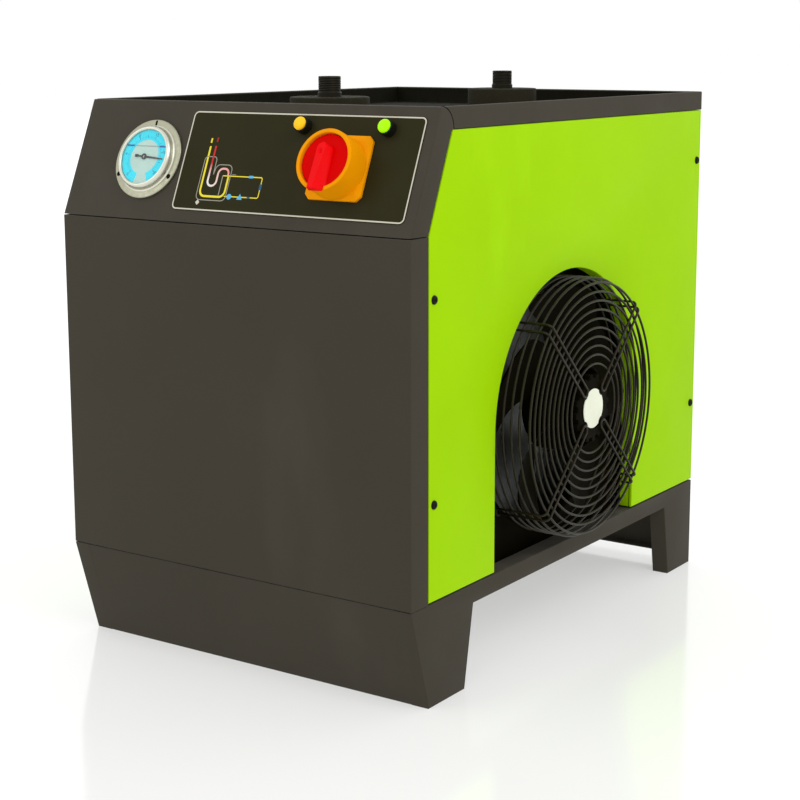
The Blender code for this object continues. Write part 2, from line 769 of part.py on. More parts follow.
def make_separator_and_drain():
    """Moisture separator, ball valve with lever, automatic drain and its tube to the rear."""
    separator = [
        (0, EXCHANGER_BOTTOM - GAP),
        (0.014, EXCHANGER_BOTTOM - GAP),
        (0.014, 0.385),
        (0.032, 0.375),
        (0.032, 0.265),
        (0.010, 0.250),
        (0.010, VALVE_TOP + GAP),
        (0, VALVE_TOP + GAP),
    ]
    turned("moisture_separator", separator, STAINLESS, at(SEPARATOR_X, SEPARATOR_Y, 0))
    valve = [
        (0, VALVE_TOP),
        (0.013, VALVE_TOP),
        (0.013, VALVE_TOP - 0.012),
        (0.016, LEVER_Z),
        (0.013, VALVE_BOTTOM + 0.012),
        (0.013, VALVE_BOTTOM),
        (0, VALVE_BOTTOM),
    ]
    body = turned("drain_valve_body", valve, BRASS, at(SEPARATOR_X, SEPARATOR_Y, 0), steps=16)
    stem_end = 0.026
    stem = [(0, stem_end), (0.006, stem_end), (0.006, 0.004), (0, 0.004)]
    stem_frame = front_frame(SEPARATOR_X, SEPARATOR_Y, LEVER_Z)
    stem_piece = turned("drain_valve_stem", stem, BRASS, stem_frame, 12, cutters)
    join(body, stem_piece)
    lever_length = 0.058
    handle = arc(0.009, (0, 0), 0, 180, 6) + [(-0.006, -lever_length), (0.006, -lever_length)]
    lever_frame = front_frame(SEPARATOR_X, SEPARATOR_Y - stem_end - GAP, LEVER_Z)
    plate("drain_valve_lever", [handle], 0.0025, SWITCH_RED, lever_frame)
    drain_top = VALVE_BOTTOM - GAP
    low = (SEPARATOR_X - 0.028, SEPARATOR_Y - 0.032, PAN_TOP + GAP)
    high = (SEPARATOR_X + 0.028, SEPARATOR_Y + 0.032, 0.150)
    drain = box("automatic_drain", low, high, BOX_GREY, bevel=0.004)
    neck = [(0, drain_top), (0.011, drain_top), (0.011, 0.145), (0, 0.145)]
    neck_piece = turned("drain_neck", neck, BOX_GREY, at(SEPARATOR_X, SEPARATOR_Y, 0), 16, cutters)
    join(drain, neck_piece)
    outlet_tail = DEPTH - 0.020
    start = (DRAIN_X, SEPARATOR_Y + 0.032 + GAP, DRAIN_Z)
    end = (DRAIN_X, outlet_tail - GAP, DRAIN_Z)
    tube("drain_tube", [start, end], 0.004, TUBE_BLUE)
    outlet = [
        (0, 0.018),
        (0.004, 0.018),
        (0.005, 0.016),
        (0.005, 0.009),
        (0.010, 0.008),
        (0.010, GAP),
        (0.0062, GAP),
        (0.0062, -0.020),
        (0, -0.020),
    ]
    turned("drain_outlet", outlet, BRASS, rear_frame(DRAIN_X, DEPTH, DRAIN_Z), steps=12)


def coil_route(centre, radius, start, pitch, turns, steps):
    """Points of a helix about z, formula: angle grows evenly while the height climbs."""
    route = []
    for k in range(turns * steps + 1):
        angle = 2 * math.pi * k / steps
        x = centre[0] + radius * math.cos(angle)
        y = centre[1] + radius * math.sin(angle)
        route.append((x, y, start + pitch * k / steps))
    return route


DRIER_X = 0.072
DRIER_Y = 0.215


def make_pipework():
    """Refrigerant pipes, filter drier, capillary coil and hot-gas bypass valve."""
    pipe = 0.0048
    bend = 0.020
    discharge_z = 0.350
    out_x = COMPRESSOR_X + 0.024
    condenser_face = CONDENSER[0][0] - GAP
    discharge = [
        (out_x, COMPRESSOR_Y, 0.300 + GAP),
        (out_x, COMPRESSOR_Y, discharge_z),
        (condenser_face, COMPRESSOR_Y, discharge_z),
    ]
    tube("discharge_pipe", rounded_route(discharge, bend), pipe, COPPER)
    suction_x = -0.020
    suction = [
        (suction_x, 0.500, EXCHANGER_BOTTOM - GAP),
        (suction_x, 0.500, 0.230),
        (suction_x, COMPRESSOR_Y, 0.230),
        (COMPRESSOR_X + COMPRESSOR_RADIUS + GAP, COMPRESSOR_Y, 0.230),
    ]
    tube("suction_pipe", rounded_route(suction, bend), 0.006, COPPER)
    liquid = [
        (condenser_face, DRIER_Y, 0.150),
        (DRIER_X, DRIER_Y, 0.150),
        (DRIER_X, DRIER_Y, 0.200),
    ]
    tube("liquid_pipe", rounded_route(liquid, 0.015), 0.004, COPPER)
    drier = [
        (0, 0.300),
        (0.003, 0.300),
        (0.004, 0.290),
        (0.012, 0.278),
        (0.012, 0.222),
        (0.005, 0.210),
        (0.005, 0.200 + GAP),
        (0, 0.200 + GAP),
    ]
    turned("filter_drier", drier, COPPER, at(DRIER_X, DRIER_Y, 0), steps=16)
    coil_radius = 0.020
    helix_centre = (DRIER_X - coil_radius, DRIER_Y)
    route = [(DRIER_X, DRIER_Y, 0.300 + GAP)]
    route += coil_route(helix_centre, coil_radius, 0.310, 0.008, 3, 10)
    route.append((DRIER_X, DRIER_Y, EXCHANGER_BOTTOM - GAP))
    tube("capillary_coil", route, 0.0014, COPPER, sides=1)
    valve_low = discharge_z + pipe + GAP
    valve = [
        (0, EXCHANGER_BOTTOM - GAP),
        (0.005, EXCHANGER_BOTTOM - GAP),
        (0.005, 0.388),
        (0.016, 0.384),
        (0.016, 0.366),
        (0.006, 0.362),
        (0.006, valve_low),
        (0, valve_low),
    ]
    turned("hot_gas_valve", valve, BRASS, at(0.040, COMPRESSOR_Y, 0), steps=16)


def make_air_ports():
    """Two air ports standing up through the top cover, each in its round collar."""
    base = EXCHANGER_TOP + GAP
    sleeve_top = HEIGHT + 0.008
    bore_floor = HEIGHT - 0.030
    port = [
        (0.008, bore_floor),
        (0.008, PORT_TOP),
        (0.0105, PORT_TOP),
        (0.011, PORT_TOP - 0.001),
        (0.011, sleeve_top),
        (0.0125, sleeve_top - 0.001),
        (0.0125, base),
        (0, base),
    ]
    collar_low = HEIGHT - TOP_RECESS + GAP
    collar_top = HEIGHT + 0.003
    collar = [
        (0.0128, collar_top),
        (COLLAR_RADIUS - 0.002, collar_top),
        (COLLAR_RADIUS, collar_top - 0.002),
        (COLLAR_RADIUS, collar_low),
        (0.0128, collar_low),
    ]
    for label, (x, y) in AIR_PORTS.items():
        bore = [(0, bore_floor)] + port
        turned(f"air_port_{label}", bore, PORT_STEEL, at(x, y, 0), steps=20)
        turned(f"port_collar_{label}", collar, RUBBER, at(x, y, 0), closed=True)


def make_electrics():
    """Electrical box behind the front cover, run capacitor and the rear cable gland."""
    box("electrical_box", (-0.190, 0.006, 0.290), (-0.060, 0.070, 0.430), BOX_GREY, bevel=0.003)
    capacitor = [(0, 0.062), (0.016, 0.062), (0.0175, 0.060), (0.0175, 0), (0, 0)]
    turned("run_capacitor", capacitor, BLACK_PLASTIC, at(-0.030, 0.030, PAN_TOP + GAP), steps=16)
    gland = [
        (0, -0.006),
        (0.005, -0.006),
        (0.005, 0.018),
        (0.007, 0.018),
        (0.010, 0.014),
        (0.0125, 0.008),
        (0.0125, GAP),
        (0.0082, GAP),
        (0.0082, -0.012),
        (0, -0.012),
    ]
    turned("cable_gland", gland, BLACK_PLASTIC, rear_frame(GLAND_X, DEPTH, GLAND_Z), steps=12)


# ---------------------------------------------------------------- gauge, switch, lamps
def make_gauge():
    """Panel gauge: flanged case, printed dial, needle on the axis and window."""
    seat = 0.005
    front = 0.012
    inner = 0.0292
    case = [
        (0, seat),
        (inner, seat),
        (inner, front - 0.0005),
        (inner + 0.002, front),
        (inner + 0.0045, front - 0.0015),
        (inner + 0.0063, 0.006),
        (inner + 0.0068, 0.003),
        (0.0425, 0.003),
        (0.0425, GAP),
        (GAUGE_HOLE - GAP, GAP),
        (GAUGE_HOLE - GAP, -0.030),
        (0.012, -0.033),
        (0, -0.033),
    ]
    frame = panel_frame(GAUGE_U, GAUGE_V)
    turned("gauge_case", case, STAINLESS, frame, steps=32)
    disc = inner - GAP
    dial = [(0, seat + 0.001), (disc, seat + 0.001), (disc, seat + GAP), (0, seat + GAP)]
    turned("gauge_dial", dial, DIAL_PRINT, frame, steps=32)
    needle_low = seat + 0.0018
    pointer = [(0.0, -0.0007), (0.0255, -0.0003), (0.0255, 0.0003), (0.0, 0.0007)]
    tail = [(-0.010, 0.0007), (-0.0125, 0.0013), (-0.0125, -0.0013), (-0.010, -0.0007)]
    tilt = Matrix.Rotation(math.radians(-4), 4, "Z")
    needle_frame = panel_frame(GAUGE_U, GAUGE_V, needle_low) @ tilt
    needle = plate("gauge_needle", [pointer + tail], 0.0006, NEEDLE_BLACK, needle_frame)
    hub = [(0, 0.0012), (0.0026, 0.0012), (0.0026, 0), (0, 0)]
    boss = turned("needle_boss", hub, NEEDLE_BLACK, needle_frame, 16, cutters)
    join(as_mesh(needle), boss)
    window_low = front - 0.0028
    window = [(0, window_low + 0.0015), (disc, window_low + 0.0015), (disc, window_low), (0, window_low)]
    turned("gauge_window", window, CLEAR_GLASS, frame, steps=32)


COLLAR_FACE = 0.031
HANDLE_FLOOR = 0.020
HANDLE_FACE = 0.028
GRIP_FACE = 0.036


def make_switch():
    """Main switch: square plate with the mechanism behind it, round collar and turning handle."""
    half = 0.0325
    chamfer = 0.005
    low = FILM + 2 * GAP
    high = low + 0.003
    corner = half - chamfer
    edge = [
        (half, -corner),
        (half, corner),
        (corner, half),
        (-corner, half),
        (-half, corner),
        (-half, -corner),
        (-corner, -half),
        (corner, -half),
    ]
    frame = panel_frame(SWITCH_U, SWITCH_V)
    square = plate("switch_plate", [edge], high - low, SWITCH_YELLOW, frame @ at(0, 0, low))
    block = [(0, high - 0.001), (0.022, high - 0.001), (0.022, -0.045), (0, -0.045)]
    mechanism = turned("switch_mechanism", block, SWITCH_YELLOW, frame, 16, cutters)
    join(as_mesh(square), mechanism)
    outer = 0.03125
    inner = 0.0270
    collar = [
        (inner, COLLAR_FACE),
        (outer - 0.001, COLLAR_FACE),
        (outer, COLLAR_FACE - 0.001),
        (outer, high + GAP),
        (0.010, high + GAP),
        (0.010, HANDLE_FLOOR - GAP),
        (inner, HANDLE_FLOOR - GAP),
    ]
    turned("switch_collar", collar, SWITCH_YELLOW, frame, steps=32, closed=True)
    radius = inner - 0.0005
    disc = [
        (0, HANDLE_FACE),
        (radius - 0.0015, HANDLE_FACE),
        (radius, HANDLE_FACE - 0.0015),
        (radius, HANDLE_FLOOR),
        (0.008, HANDLE_FLOOR),
        (0.008, high + 2 * GAP),
        (0, high + 2 * GAP),
    ]
    handle = turned("switch_handle", disc, SWITCH_RED, frame, steps=32)
    neck = 0.006
    tip = 0.0105
    grip_edge = arc(neck, (0, 0.017), 0, 180, 6) + [(-tip / 1.3, -outer), (tip / 1.3, -outer)]
    lift = COLLAR_FACE + GAP
    grip = plate("switch_grip", [grip_edge], GRIP_FACE - lift, SWITCH_RED, frame @ at(0, 0, lift), cutters)
    root_edge = arc(neck, (0, 0.017), 0, 180, 6) + [(-tip / 1.5, -radius + 0.002), (tip / 1.5, -radius + 0.002)]
    root_low = HANDLE_FACE - 0.002
    root_height = lift + 0.001 - root_low
    root = plate("switch_grip_root", [root_edge], root_height, SWITCH_RED, frame @ at(0, 0, root_low), cutters)
    join(handle, as_mesh(root), as_mesh(grip))


def make_lamp(name, u, lens_finish):
    """Signal lamp: black housing through the panel and a coloured lens in front."""
    low = FILM + 2 * GAP
    front = 0.0100
    housing = [
        (0, front),
        (0.0072, front),
        (0.0080, front - 0.0008),
        (0.0080, low),
        (0.0060, low),
        (0.0060, -0.009),
        (0, -0.009),
    ]
    frame = panel_frame(u, LAMP_V)
    turned(f"lamp_housing_{name}", housing, BLACK_PLASTIC, frame, steps=20)
    lens = [(0, 0.0142), (0.0040, 0.0136), (0.0066, 0.0120), (0.0072, front + GAP), (0, front + GAP)]
    turned(f"lamp_lens_{name}", lens, lens_finish, frame, steps=20)


# ---------------------------------------------------------------- assembly
def centre_over_origin():
    """Move the whole model so that its box stands centred over the origin."""
    bpy.context.view_layer.update()
    depsgraph = bpy.context.evaluated_depsgraph_get()
    low = [math.inf, math.inf]
    high = [-math.inf, -math.inf]
    for obj in dryer.objects:
        if obj.type not in {"MESH", "CURVE"}:
            continue
        shape = obj.evaluated_get(depsgraph)
        data = shape.to_mesh()
        for vertex in data.vertices:
            place = shape.matrix_world @ vertex.co
            for axis in (0, 1):
                low[axis] = min(low[axis], place[axis])
                high[axis] = max(high[axis], place[axis])
        shape.to_mesh_clear()
    ROOT.location = (-(low[0] + high[0]) / 2, -(low[1] + high[1]) / 2, 0)


def main():
    """Build every sub-part, then centre the model."""
    make_base()
    make_right_panel()
    make_left_panel()
    make_rear_panel()
    make_front_panel()
    make_control_panel()
    make_overlay()
    make_top_cover()
    make_screws()
    make_guard()
    make_fan()
    make_shroud_and_condenser()
    make_compressor()
    make_heat_exchanger()
    make_separator_and_drain()
    make_pipework()
    make_air_ports()
    make_electrics()
    make_gauge()
    make_switch()
    make_lamp("amber", AMBER_U, AMBER_LENS)
    make_lamp("green", GREEN_U, GREEN_LENS)
    centre_over_origin()


main()
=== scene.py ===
"""Looks of a refrigerated air dryer: folded sheet covers, wire fan guard, gauge, switch and lamps.

Shapes are worked out in the cabinet's own frame, in metres: x = 0 at mid width, y = 0 at the front
face and z = 0 on the floor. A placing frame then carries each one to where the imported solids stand.
"""
import json
import math

import bmesh
import bpy
import numpy as np
from mathutils import Matrix, Vector


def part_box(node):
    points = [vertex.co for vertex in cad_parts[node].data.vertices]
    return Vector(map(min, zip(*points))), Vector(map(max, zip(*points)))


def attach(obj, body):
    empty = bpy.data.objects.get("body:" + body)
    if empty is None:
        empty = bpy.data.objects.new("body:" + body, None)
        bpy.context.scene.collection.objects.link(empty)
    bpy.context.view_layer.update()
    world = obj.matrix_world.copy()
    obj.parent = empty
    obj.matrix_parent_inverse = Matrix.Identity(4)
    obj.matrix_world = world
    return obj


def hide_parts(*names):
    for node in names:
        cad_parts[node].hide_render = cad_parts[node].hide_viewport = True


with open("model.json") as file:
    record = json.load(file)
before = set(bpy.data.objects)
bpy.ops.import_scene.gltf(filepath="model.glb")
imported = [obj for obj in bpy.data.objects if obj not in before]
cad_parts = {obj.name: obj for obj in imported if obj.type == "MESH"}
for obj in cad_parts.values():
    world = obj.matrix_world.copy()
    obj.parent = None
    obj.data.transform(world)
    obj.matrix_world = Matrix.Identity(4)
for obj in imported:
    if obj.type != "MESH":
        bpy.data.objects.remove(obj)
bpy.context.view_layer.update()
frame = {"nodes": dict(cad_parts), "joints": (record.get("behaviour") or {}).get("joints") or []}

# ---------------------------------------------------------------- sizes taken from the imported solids
JOINTS = {joint["name"]: joint for joint in frame["joints"]}
FRONT_LOW, FRONT_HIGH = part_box("front_panel")
ORIGIN = Vector(((FRONT_LOW.x + FRONT_HIGH.x) / 2, FRONT_LOW.y, 0))
HALF = (FRONT_HIGH.x - FRONT_LOW.x) / 2
RETURN = FRONT_HIGH.y - FRONT_LOW.y
BASE_TOP = FRONT_LOW.z
CREASE = FRONT_HIGH.z + 0.0015
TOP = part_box("top_cover")[1].z
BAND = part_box("side_panel_right")[1].z
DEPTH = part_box("top_cover")[1].y - ORIGIN.y

# The front skirt slopes back by TOE at the floor. The covers are folded from SHEET round BEND, with
# SEAM between dark ones and GREEN_SEAM round the green ones.
TOE = 0.031
SHEET = 0.0015
BASE_SHEET = 0.002
BEND = 0.0010
SEAM = 0.0006
GREEN_SEAM = 0.0014
PANEL_FLANGE = 0.004

SLOPE_NORMAL = Vector(JOINTS["switch_turn"]["axis"])
SLOPE_UP = Vector((0, SLOPE_NORMAL.z, -SLOPE_NORMAL.y))
SLOPE_DEPTH = (TOP - CREASE) * SLOPE_UP.y / SLOPE_UP.z
GREEN_TOP_FRONT = 0.070

FAN = Vector(JOINTS["fan_spin"]["pos_m"]) - ORIGIN
ARCH_CENTRE = (0.305, 0.249)
ARCH_RADIUS = 0.153
GUARD_LOW, GUARD_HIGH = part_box("fan_guard")
GUARD_WIRE = 0.0013
GUARD_FACE = GUARD_HIGH.x - ORIGIN.x - 2.2 * GUARD_WIRE
GUARD_FOOT = GUARD_LOW.x - ORIGIN.x


def centre_of(node):
    """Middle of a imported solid's box, in the cabinet's frame."""
    low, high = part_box(node)
    return (low + high) / 2 - ORIGIN


def width_of(node):
    """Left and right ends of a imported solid's box, in the cabinet's frame."""
    low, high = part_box(node)
    return low.x - ORIGIN.x, high.x - ORIGIN.x


# ---------------------------------------------------------------- placing frames
def axes(x_axis, y_axis, z_axis, origin=(0, 0, 0)):
    """A frame from its three axes and its origin."""
    turned_axes = Matrix((x_axis, y_axis, z_axis)).transposed().to_4x4()
    return Matrix.Translation(origin) @ turned_axes


CABINET = Matrix.Translation(ORIGIN)


def upright(x=0.0, y=0.0, z=0.0):
    """Local axes stay the cabinet's own, from a point."""
    return CABINET @ Matrix.Translation((x, y, z))


def right_side(x=0.0, y=0.0, z=0.0):
    """Local x runs to the rear, local y up and local z outwards to the right."""
    return CABINET @ axes((0, 1, 0), (0, 0, 1), (1, 0, 0), (x, y, z))


def left_side(x=0.0, y=0.0, z=0.0):
    """Local x runs to the front, local y up and local z outwards to the left."""
    return CABINET @ axes((0, -1, 0), (0, 0, 1), (-1, 0, 0), (x, y, z))


def front(x=0.0, y=0.0, z=0.0):
    """Local x runs to the right, local y up and local z to the front."""
    return CABINET @ axes((1, 0, 0), (0, 0, 1), (0, -1, 0), (x, y, z))


def rear(x=0.0, y=0.0, z=0.0):
    """Local x runs to the left, local y up and local z to the rear."""
    return CABINET @ axes((-1, 0, 0), (0, 0, 1), (0, 1, 0), (x, y, z))


def slope(u=0.0, v=0.0, rise=0.0):
    """On the sloped panel: local x to the right, local y up the slope and local z outwards."""
    place = Vector((0, 0, CREASE)) + SLOPE_UP * v + SLOPE_NORMAL * rise + Vector((u, 0, 0))
    return CABINET @ axes((1, 0, 0), SLOPE_UP, SLOPE_NORMAL, place)


# ---------------------------------------------------------------- shapes as arrays
def unit(vectors):
    """Each row of an array scaled to length one."""
    return vectors / np.linalg.norm(vectors, axis=1)[:, None]


def cylindrical(radius, angle, height):
    """Points from radius, angle in radians and height, spread over one common shape."""
    return np.stack(np.broadcast_arrays(radius * np.cos(angle), radius * np.sin(angle), height), -1)


def lifted(rings, heights):
    """Flat rings raised to one height each."""
    levels = np.broadcast_to(np.asarray(heights)[:, None, None], rings.shape[:2] + (1,))
    return np.concatenate([rings, levels], -1)


def arc(radius, centre, start, end, steps):
    """Points at even angles, in degrees, on a circle; a pair of radii makes an ellipse."""
    turn = np.radians(np.linspace(start, end, steps + 1))
    return np.stack([np.cos(turn), np.sin(turn)], -1) * radius + np.array(centre)


def circle(radius, steps=48, centre=(0, 0)):
    """A closed circle, run anticlockwise."""
    return arc(radius, centre, 0, 360 - 360 / steps, steps - 1)


def rectangle(left, bottom, right, top):
    """Corners of an upright rectangle, run anticlockwise."""
    return np.array([(left, bottom), (right, bottom), (right, top), (left, top)], float)


def rounded(outline, radius, steps=6):
    """A closed outline with each corner replaced by an arc of a circle that touches both edges."""
    outline = np.asarray(outline, float)
    before = unit(np.roll(outline, 1, axis=0) - outline)
    after = unit(np.roll(outline, -1, axis=0) - outline)
    half_angle = np.arccos(np.clip((before * after).sum(1), -1, 1)) / 2
    bisector = unit(before + after)
    centre = outline + bisector * (radius / np.sin(half_angle))[:, None]
    first = outline + before * (radius / np.tan(half_angle))[:, None] - centre
    last = outline + after * (radius / np.tan(half_angle))[:, None] - centre
    swing = np.pi - 2 * half_angle
    share = np.linspace(0, 1, steps + 1)[None, :, None]
    weight_first = np.sin((1 - share) * swing[:, None, None])
    weight_last = np.sin(share * swing[:, None, None])
    arcs = (weight_first * first[:, None] + weight_last * last[:, None]) / np.sin(swing)[:, None, None]
    return (centre[:, None] + arcs).reshape(-1, 2)


def mirrored(outline):
    """An outline as it is seen from the other side, still run anticlockwise."""
    outline = np.asarray(outline, float)[::-1]
    return np.stack([-outline[:, 0], outline[:, 1]], -1)


def inset(outline, amounts):
    """Copies of an anticlockwise outline moved inwards: each corner slides along its bisector."""
    along = unit(np.roll(outline, -1, axis=0) - outline)
    normal = np.stack([-along[:, 1], along[:, 0]], -1)
    previous = np.roll(normal, 1, axis=0)
    slide = (normal + previous) / (1 + (normal * previous).sum(1))[:, None]
    return outline + np.asarray(amounts)[:, None, None] * slide


def grid(points, wrap=False, close=False, caps=False):
    """Quads between neighbours of an (m, n, 3) array; wrap joins the last row to the first, close
    joins the last column to the first, and caps fill the first and last row."""
    rows, columns = points.shape[:2]
    index = np.arange(rows * columns).reshape(rows, columns)
    ends = [index[0, ::-1].tolist(), index[-1].tolist()] if caps else []
    if wrap:
        index = np.vstack([index, index[:1]])
    if close:
        index = np.hstack([index, index[:, :1]])
    quads = np.stack([index[:-1, :-1], index[:-1, 1:], index[1:, 1:], index[1:, :-1]], -1)
    return points.reshape(-1, 3), quads.reshape(-1, 4).tolist() + ends


def carried(outline, profile):
    """A body whose rows are the outline inset by the profile's first value at its second value's
    height, with both ends filled."""
    profile = np.asarray(profile, float)
    rings = inset(np.asarray(outline, float), profile[:, 0])
    return grid(lifted(rings, profile[:, 1]), close=True, caps=True)


def slab(outline, low, high, edge=0.0, back_edge=0.0, steps=3):
    """A flat plate from local height low to high, its front and back edges rounded by quarter arcs."""
    turn = np.linspace(0, np.pi / 2, steps + 1)
    profile = []
    if back_edge:
        profile += [(back_edge * (1 - math.sin(a)), low + back_edge * (1 - math.cos(a))) for a in turn]
    else:
        profile += [(0, low)]
    if edge:
        profile += [(edge * (1 - math.cos(a)), high - edge * (1 - math.sin(a))) for a in turn]
    else:
        profile += [(0, high)]
    return carried(outline, profile)


def folded(outline, sheet, bend, depth, steps=4):
    """A sheet panel with every edge folded back: outer face at height 0, a quarter bend, a flange
    down to -depth, and the same again on the inside one sheet thickness in."""
    turn = np.linspace(0, np.pi / 2, steps + 1)
    outer = [(bend * (1 - math.sin(a)), -bend * (1 - math.cos(a))) for a in turn]
    inner = [(sheet, -depth), (sheet, -sheet)]
    return carried(outline, outer + [(0, -depth)] + inner)


def turned(profile, steps=48, closed=False):
    """A profile of (radius, height) carried round local z; a closed one makes a ring."""
    profile = np.asarray(profile, float)
    turn = np.linspace(0, 2 * np.pi, steps, endpoint=False)
    points = cylindrical(profile[:, :1], turn, profile[:, 1:])
    return grid(points, wrap=closed, close=True)


def ring(radius, height, wire, steps=96, sides=8):
    """A round wire bent to a circle: a small circle carried round local z."""
    return turned(circle(wire, sides, (radius, height)), steps, closed=True)


def smooth_route(corners, bend, steps=6):
    """A route with its inner corners rounded to arcs of radius bend."""
    route = [np.array(corners[0], float)[None]]
    for before, corner, after in zip(corners, corners[1:], corners[2:]):
        corner = np.array(corner, float)
        back = np.array(before, float) - corner
        ahead = np.array(after, float) - corner
        back /= np.linalg.norm(back)
        ahead /= np.linalg.norm(ahead)
        half_angle = math.acos(max(-1.0, min(1.0, float(back @ ahead)))) / 2
        middle = corner + (back + ahead) / np.linalg.norm(back + ahead) * bend / math.sin(half_angle)
        first = corner + back * bend / math.tan(half_angle) - middle
        last = corner + ahead * bend / math.tan(half_angle) - middle
        swing = math.pi - 2 * half_angle
        share = np.linspace(0, 1, steps + 1)[:, None]
        blend = np.sin((1 - share) * swing) * first + np.sin(share * swing) * last
        route.append(middle + blend / math.sin(swing))
    route.append(np.array(corners[-1], float)[None])
    return np.concatenate(route)


def rod(route, radius, sides=8, up=(0, 0, 1)):
    """A round rod along a route: a circle in the plane of two directions square to the tangent,
    with a small dome at each end."""
    route = np.asarray(route, float)
    tangent = unit(np.gradient(route, axis=0))
    across = unit(np.cross(tangent, np.asarray(up, float)))
    above = np.cross(across, tangent)
    radii = np.full(len(route), float(radius))
    dome = radius * 0.4
    route = np.concatenate([route[:1] - tangent[:1] * dome, route, route[-1:] + tangent[-1:] * dome])
    across = np.concatenate([across[:1], across, across[-1:]])
    above = np.concatenate([above[:1], above, above[-1:]])
    radii = np.concatenate([[radius * 0.55], radii, [radius * 0.55]])[:, None, None]
    turn = np.linspace(0, 2 * np.pi, sides, endpoint=False)[None, :, None]
    around = np.cos(turn) * above[:, None] + np.sin(turn) * across[:, None]
    return grid(route[:, None] + radii * around, close=True, caps=True)


def ribbon(route, width, low, high):
    """A flat printed line: the route offset both ways by half its width, as a thin plate."""
    route = np.asarray(route, float)
    along = unit(np.gradient(route, axis=0))
    side = np.stack([-along[:, 1], along[:, 0]], -1) * width / 2
    edges = np.stack([route - side, route + side, route + side, route - side])
    return grid(lifted(edges, [low, low, high, high]).swapaxes(0, 1), close=True, caps=True)


def shifted(shape, offset):
    """A shape moved by an offset."""
    points, faces = shape
    return points + np.array(offset, float), faces


def spun(shape, degrees):
    """A shape turned about local z."""
    points, faces = shape
    a = math.radians(degrees)
    turn = np.array([[math.cos(a), -math.sin(a), 0], [math.sin(a), math.cos(a), 0], [0, 0, 1]])
    return points @ turn.T, faces


def ribbed(shape, count, depth, beyond):
    """A turned shape whose outer rings, those beyond a radius, shrink towards each of `count` grooves
    by depth * (1 + cos(count * angle)) / 2."""
    points, faces = shape
    radius = np.linalg.norm(points[:, :2], axis=1)
    angle = np.arctan2(points[:, 1], points[:, 0])
    shrink = 1 - depth * (0.5 + 0.5 * np.cos(count * angle)) * (radius > beyond)
    return points * np.stack([shrink, shrink, np.ones_like(shrink)], -1), faces


# ---------------------------------------------------------------- making objects
def linked(name, data):
    """A new object of the scene that holds some data."""
    obj = bpy.data.objects.new(name, data)
    bpy.context.scene.collection.objects.link(obj)
    return obj


def piece(name, shapes, place, finish, body="cabinet", crisp=35, slot=None, stands_for=()):
    """One object from several shapes: placed, doubles merged, normals outward and edges sharper
    than `crisp` degrees kept sharp. The finish is named in FINISHES or in PRINTS.
    The slot argument is not used."""
    matrix = np.array(place)
    points = []
    faces = []
    count = 0
    for shape_points, shape_faces in shapes:
        points.append(shape_points @ matrix[:3, :3].T + matrix[:3, 3])
        faces += [[corner + count for corner in face] for face in shape_faces]
        count += len(shape_points)
    data = bpy.data.meshes.new(name)
    data.from_pydata(np.concatenate(points).tolist(), [], faces)
    shape = bmesh.new()
    shape.from_mesh(data)
    bmesh.ops.remove_doubles(shape, verts=shape.verts, dist=2e-6)
    bmesh.ops.recalc_face_normals(shape, faces=shape.faces)
    shape.to_mesh(data)
    shape.free()
    data.shade_smooth()
    data.set_sharp_from_angle(angle=math.radians(crisp))
    data.materials.append(FINISHES.get(finish) or PRINTS[finish])
    obj = linked(name, data)
    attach(obj, body)
    if finish in FINISHES:
        slot = slot or finish
    if stands_for:
        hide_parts(*stands_for)
    return obj


def cut(obj, shapes, place, finish, crisp=35):
    """Take the volume of some shapes out of a piece, leaving the finish on the cut faces."""
    cutter = piece("cutter", shapes, place, finish)
    step = obj.modifiers.new("cut", "BOOLEAN")
    step.operation = "DIFFERENCE"
    step.solver = "EXACT"
    step.object = cutter
    evaluated = obj.evaluated_get(bpy.context.evaluated_depsgraph_get())
    data = bpy.data.meshes.new_from_object(evaluated)
    obj.modifiers.clear()
    obj.data = data
    data.set_sharp_from_angle(angle=math.radians(crisp))
    bpy.data.objects.remove(cutter)


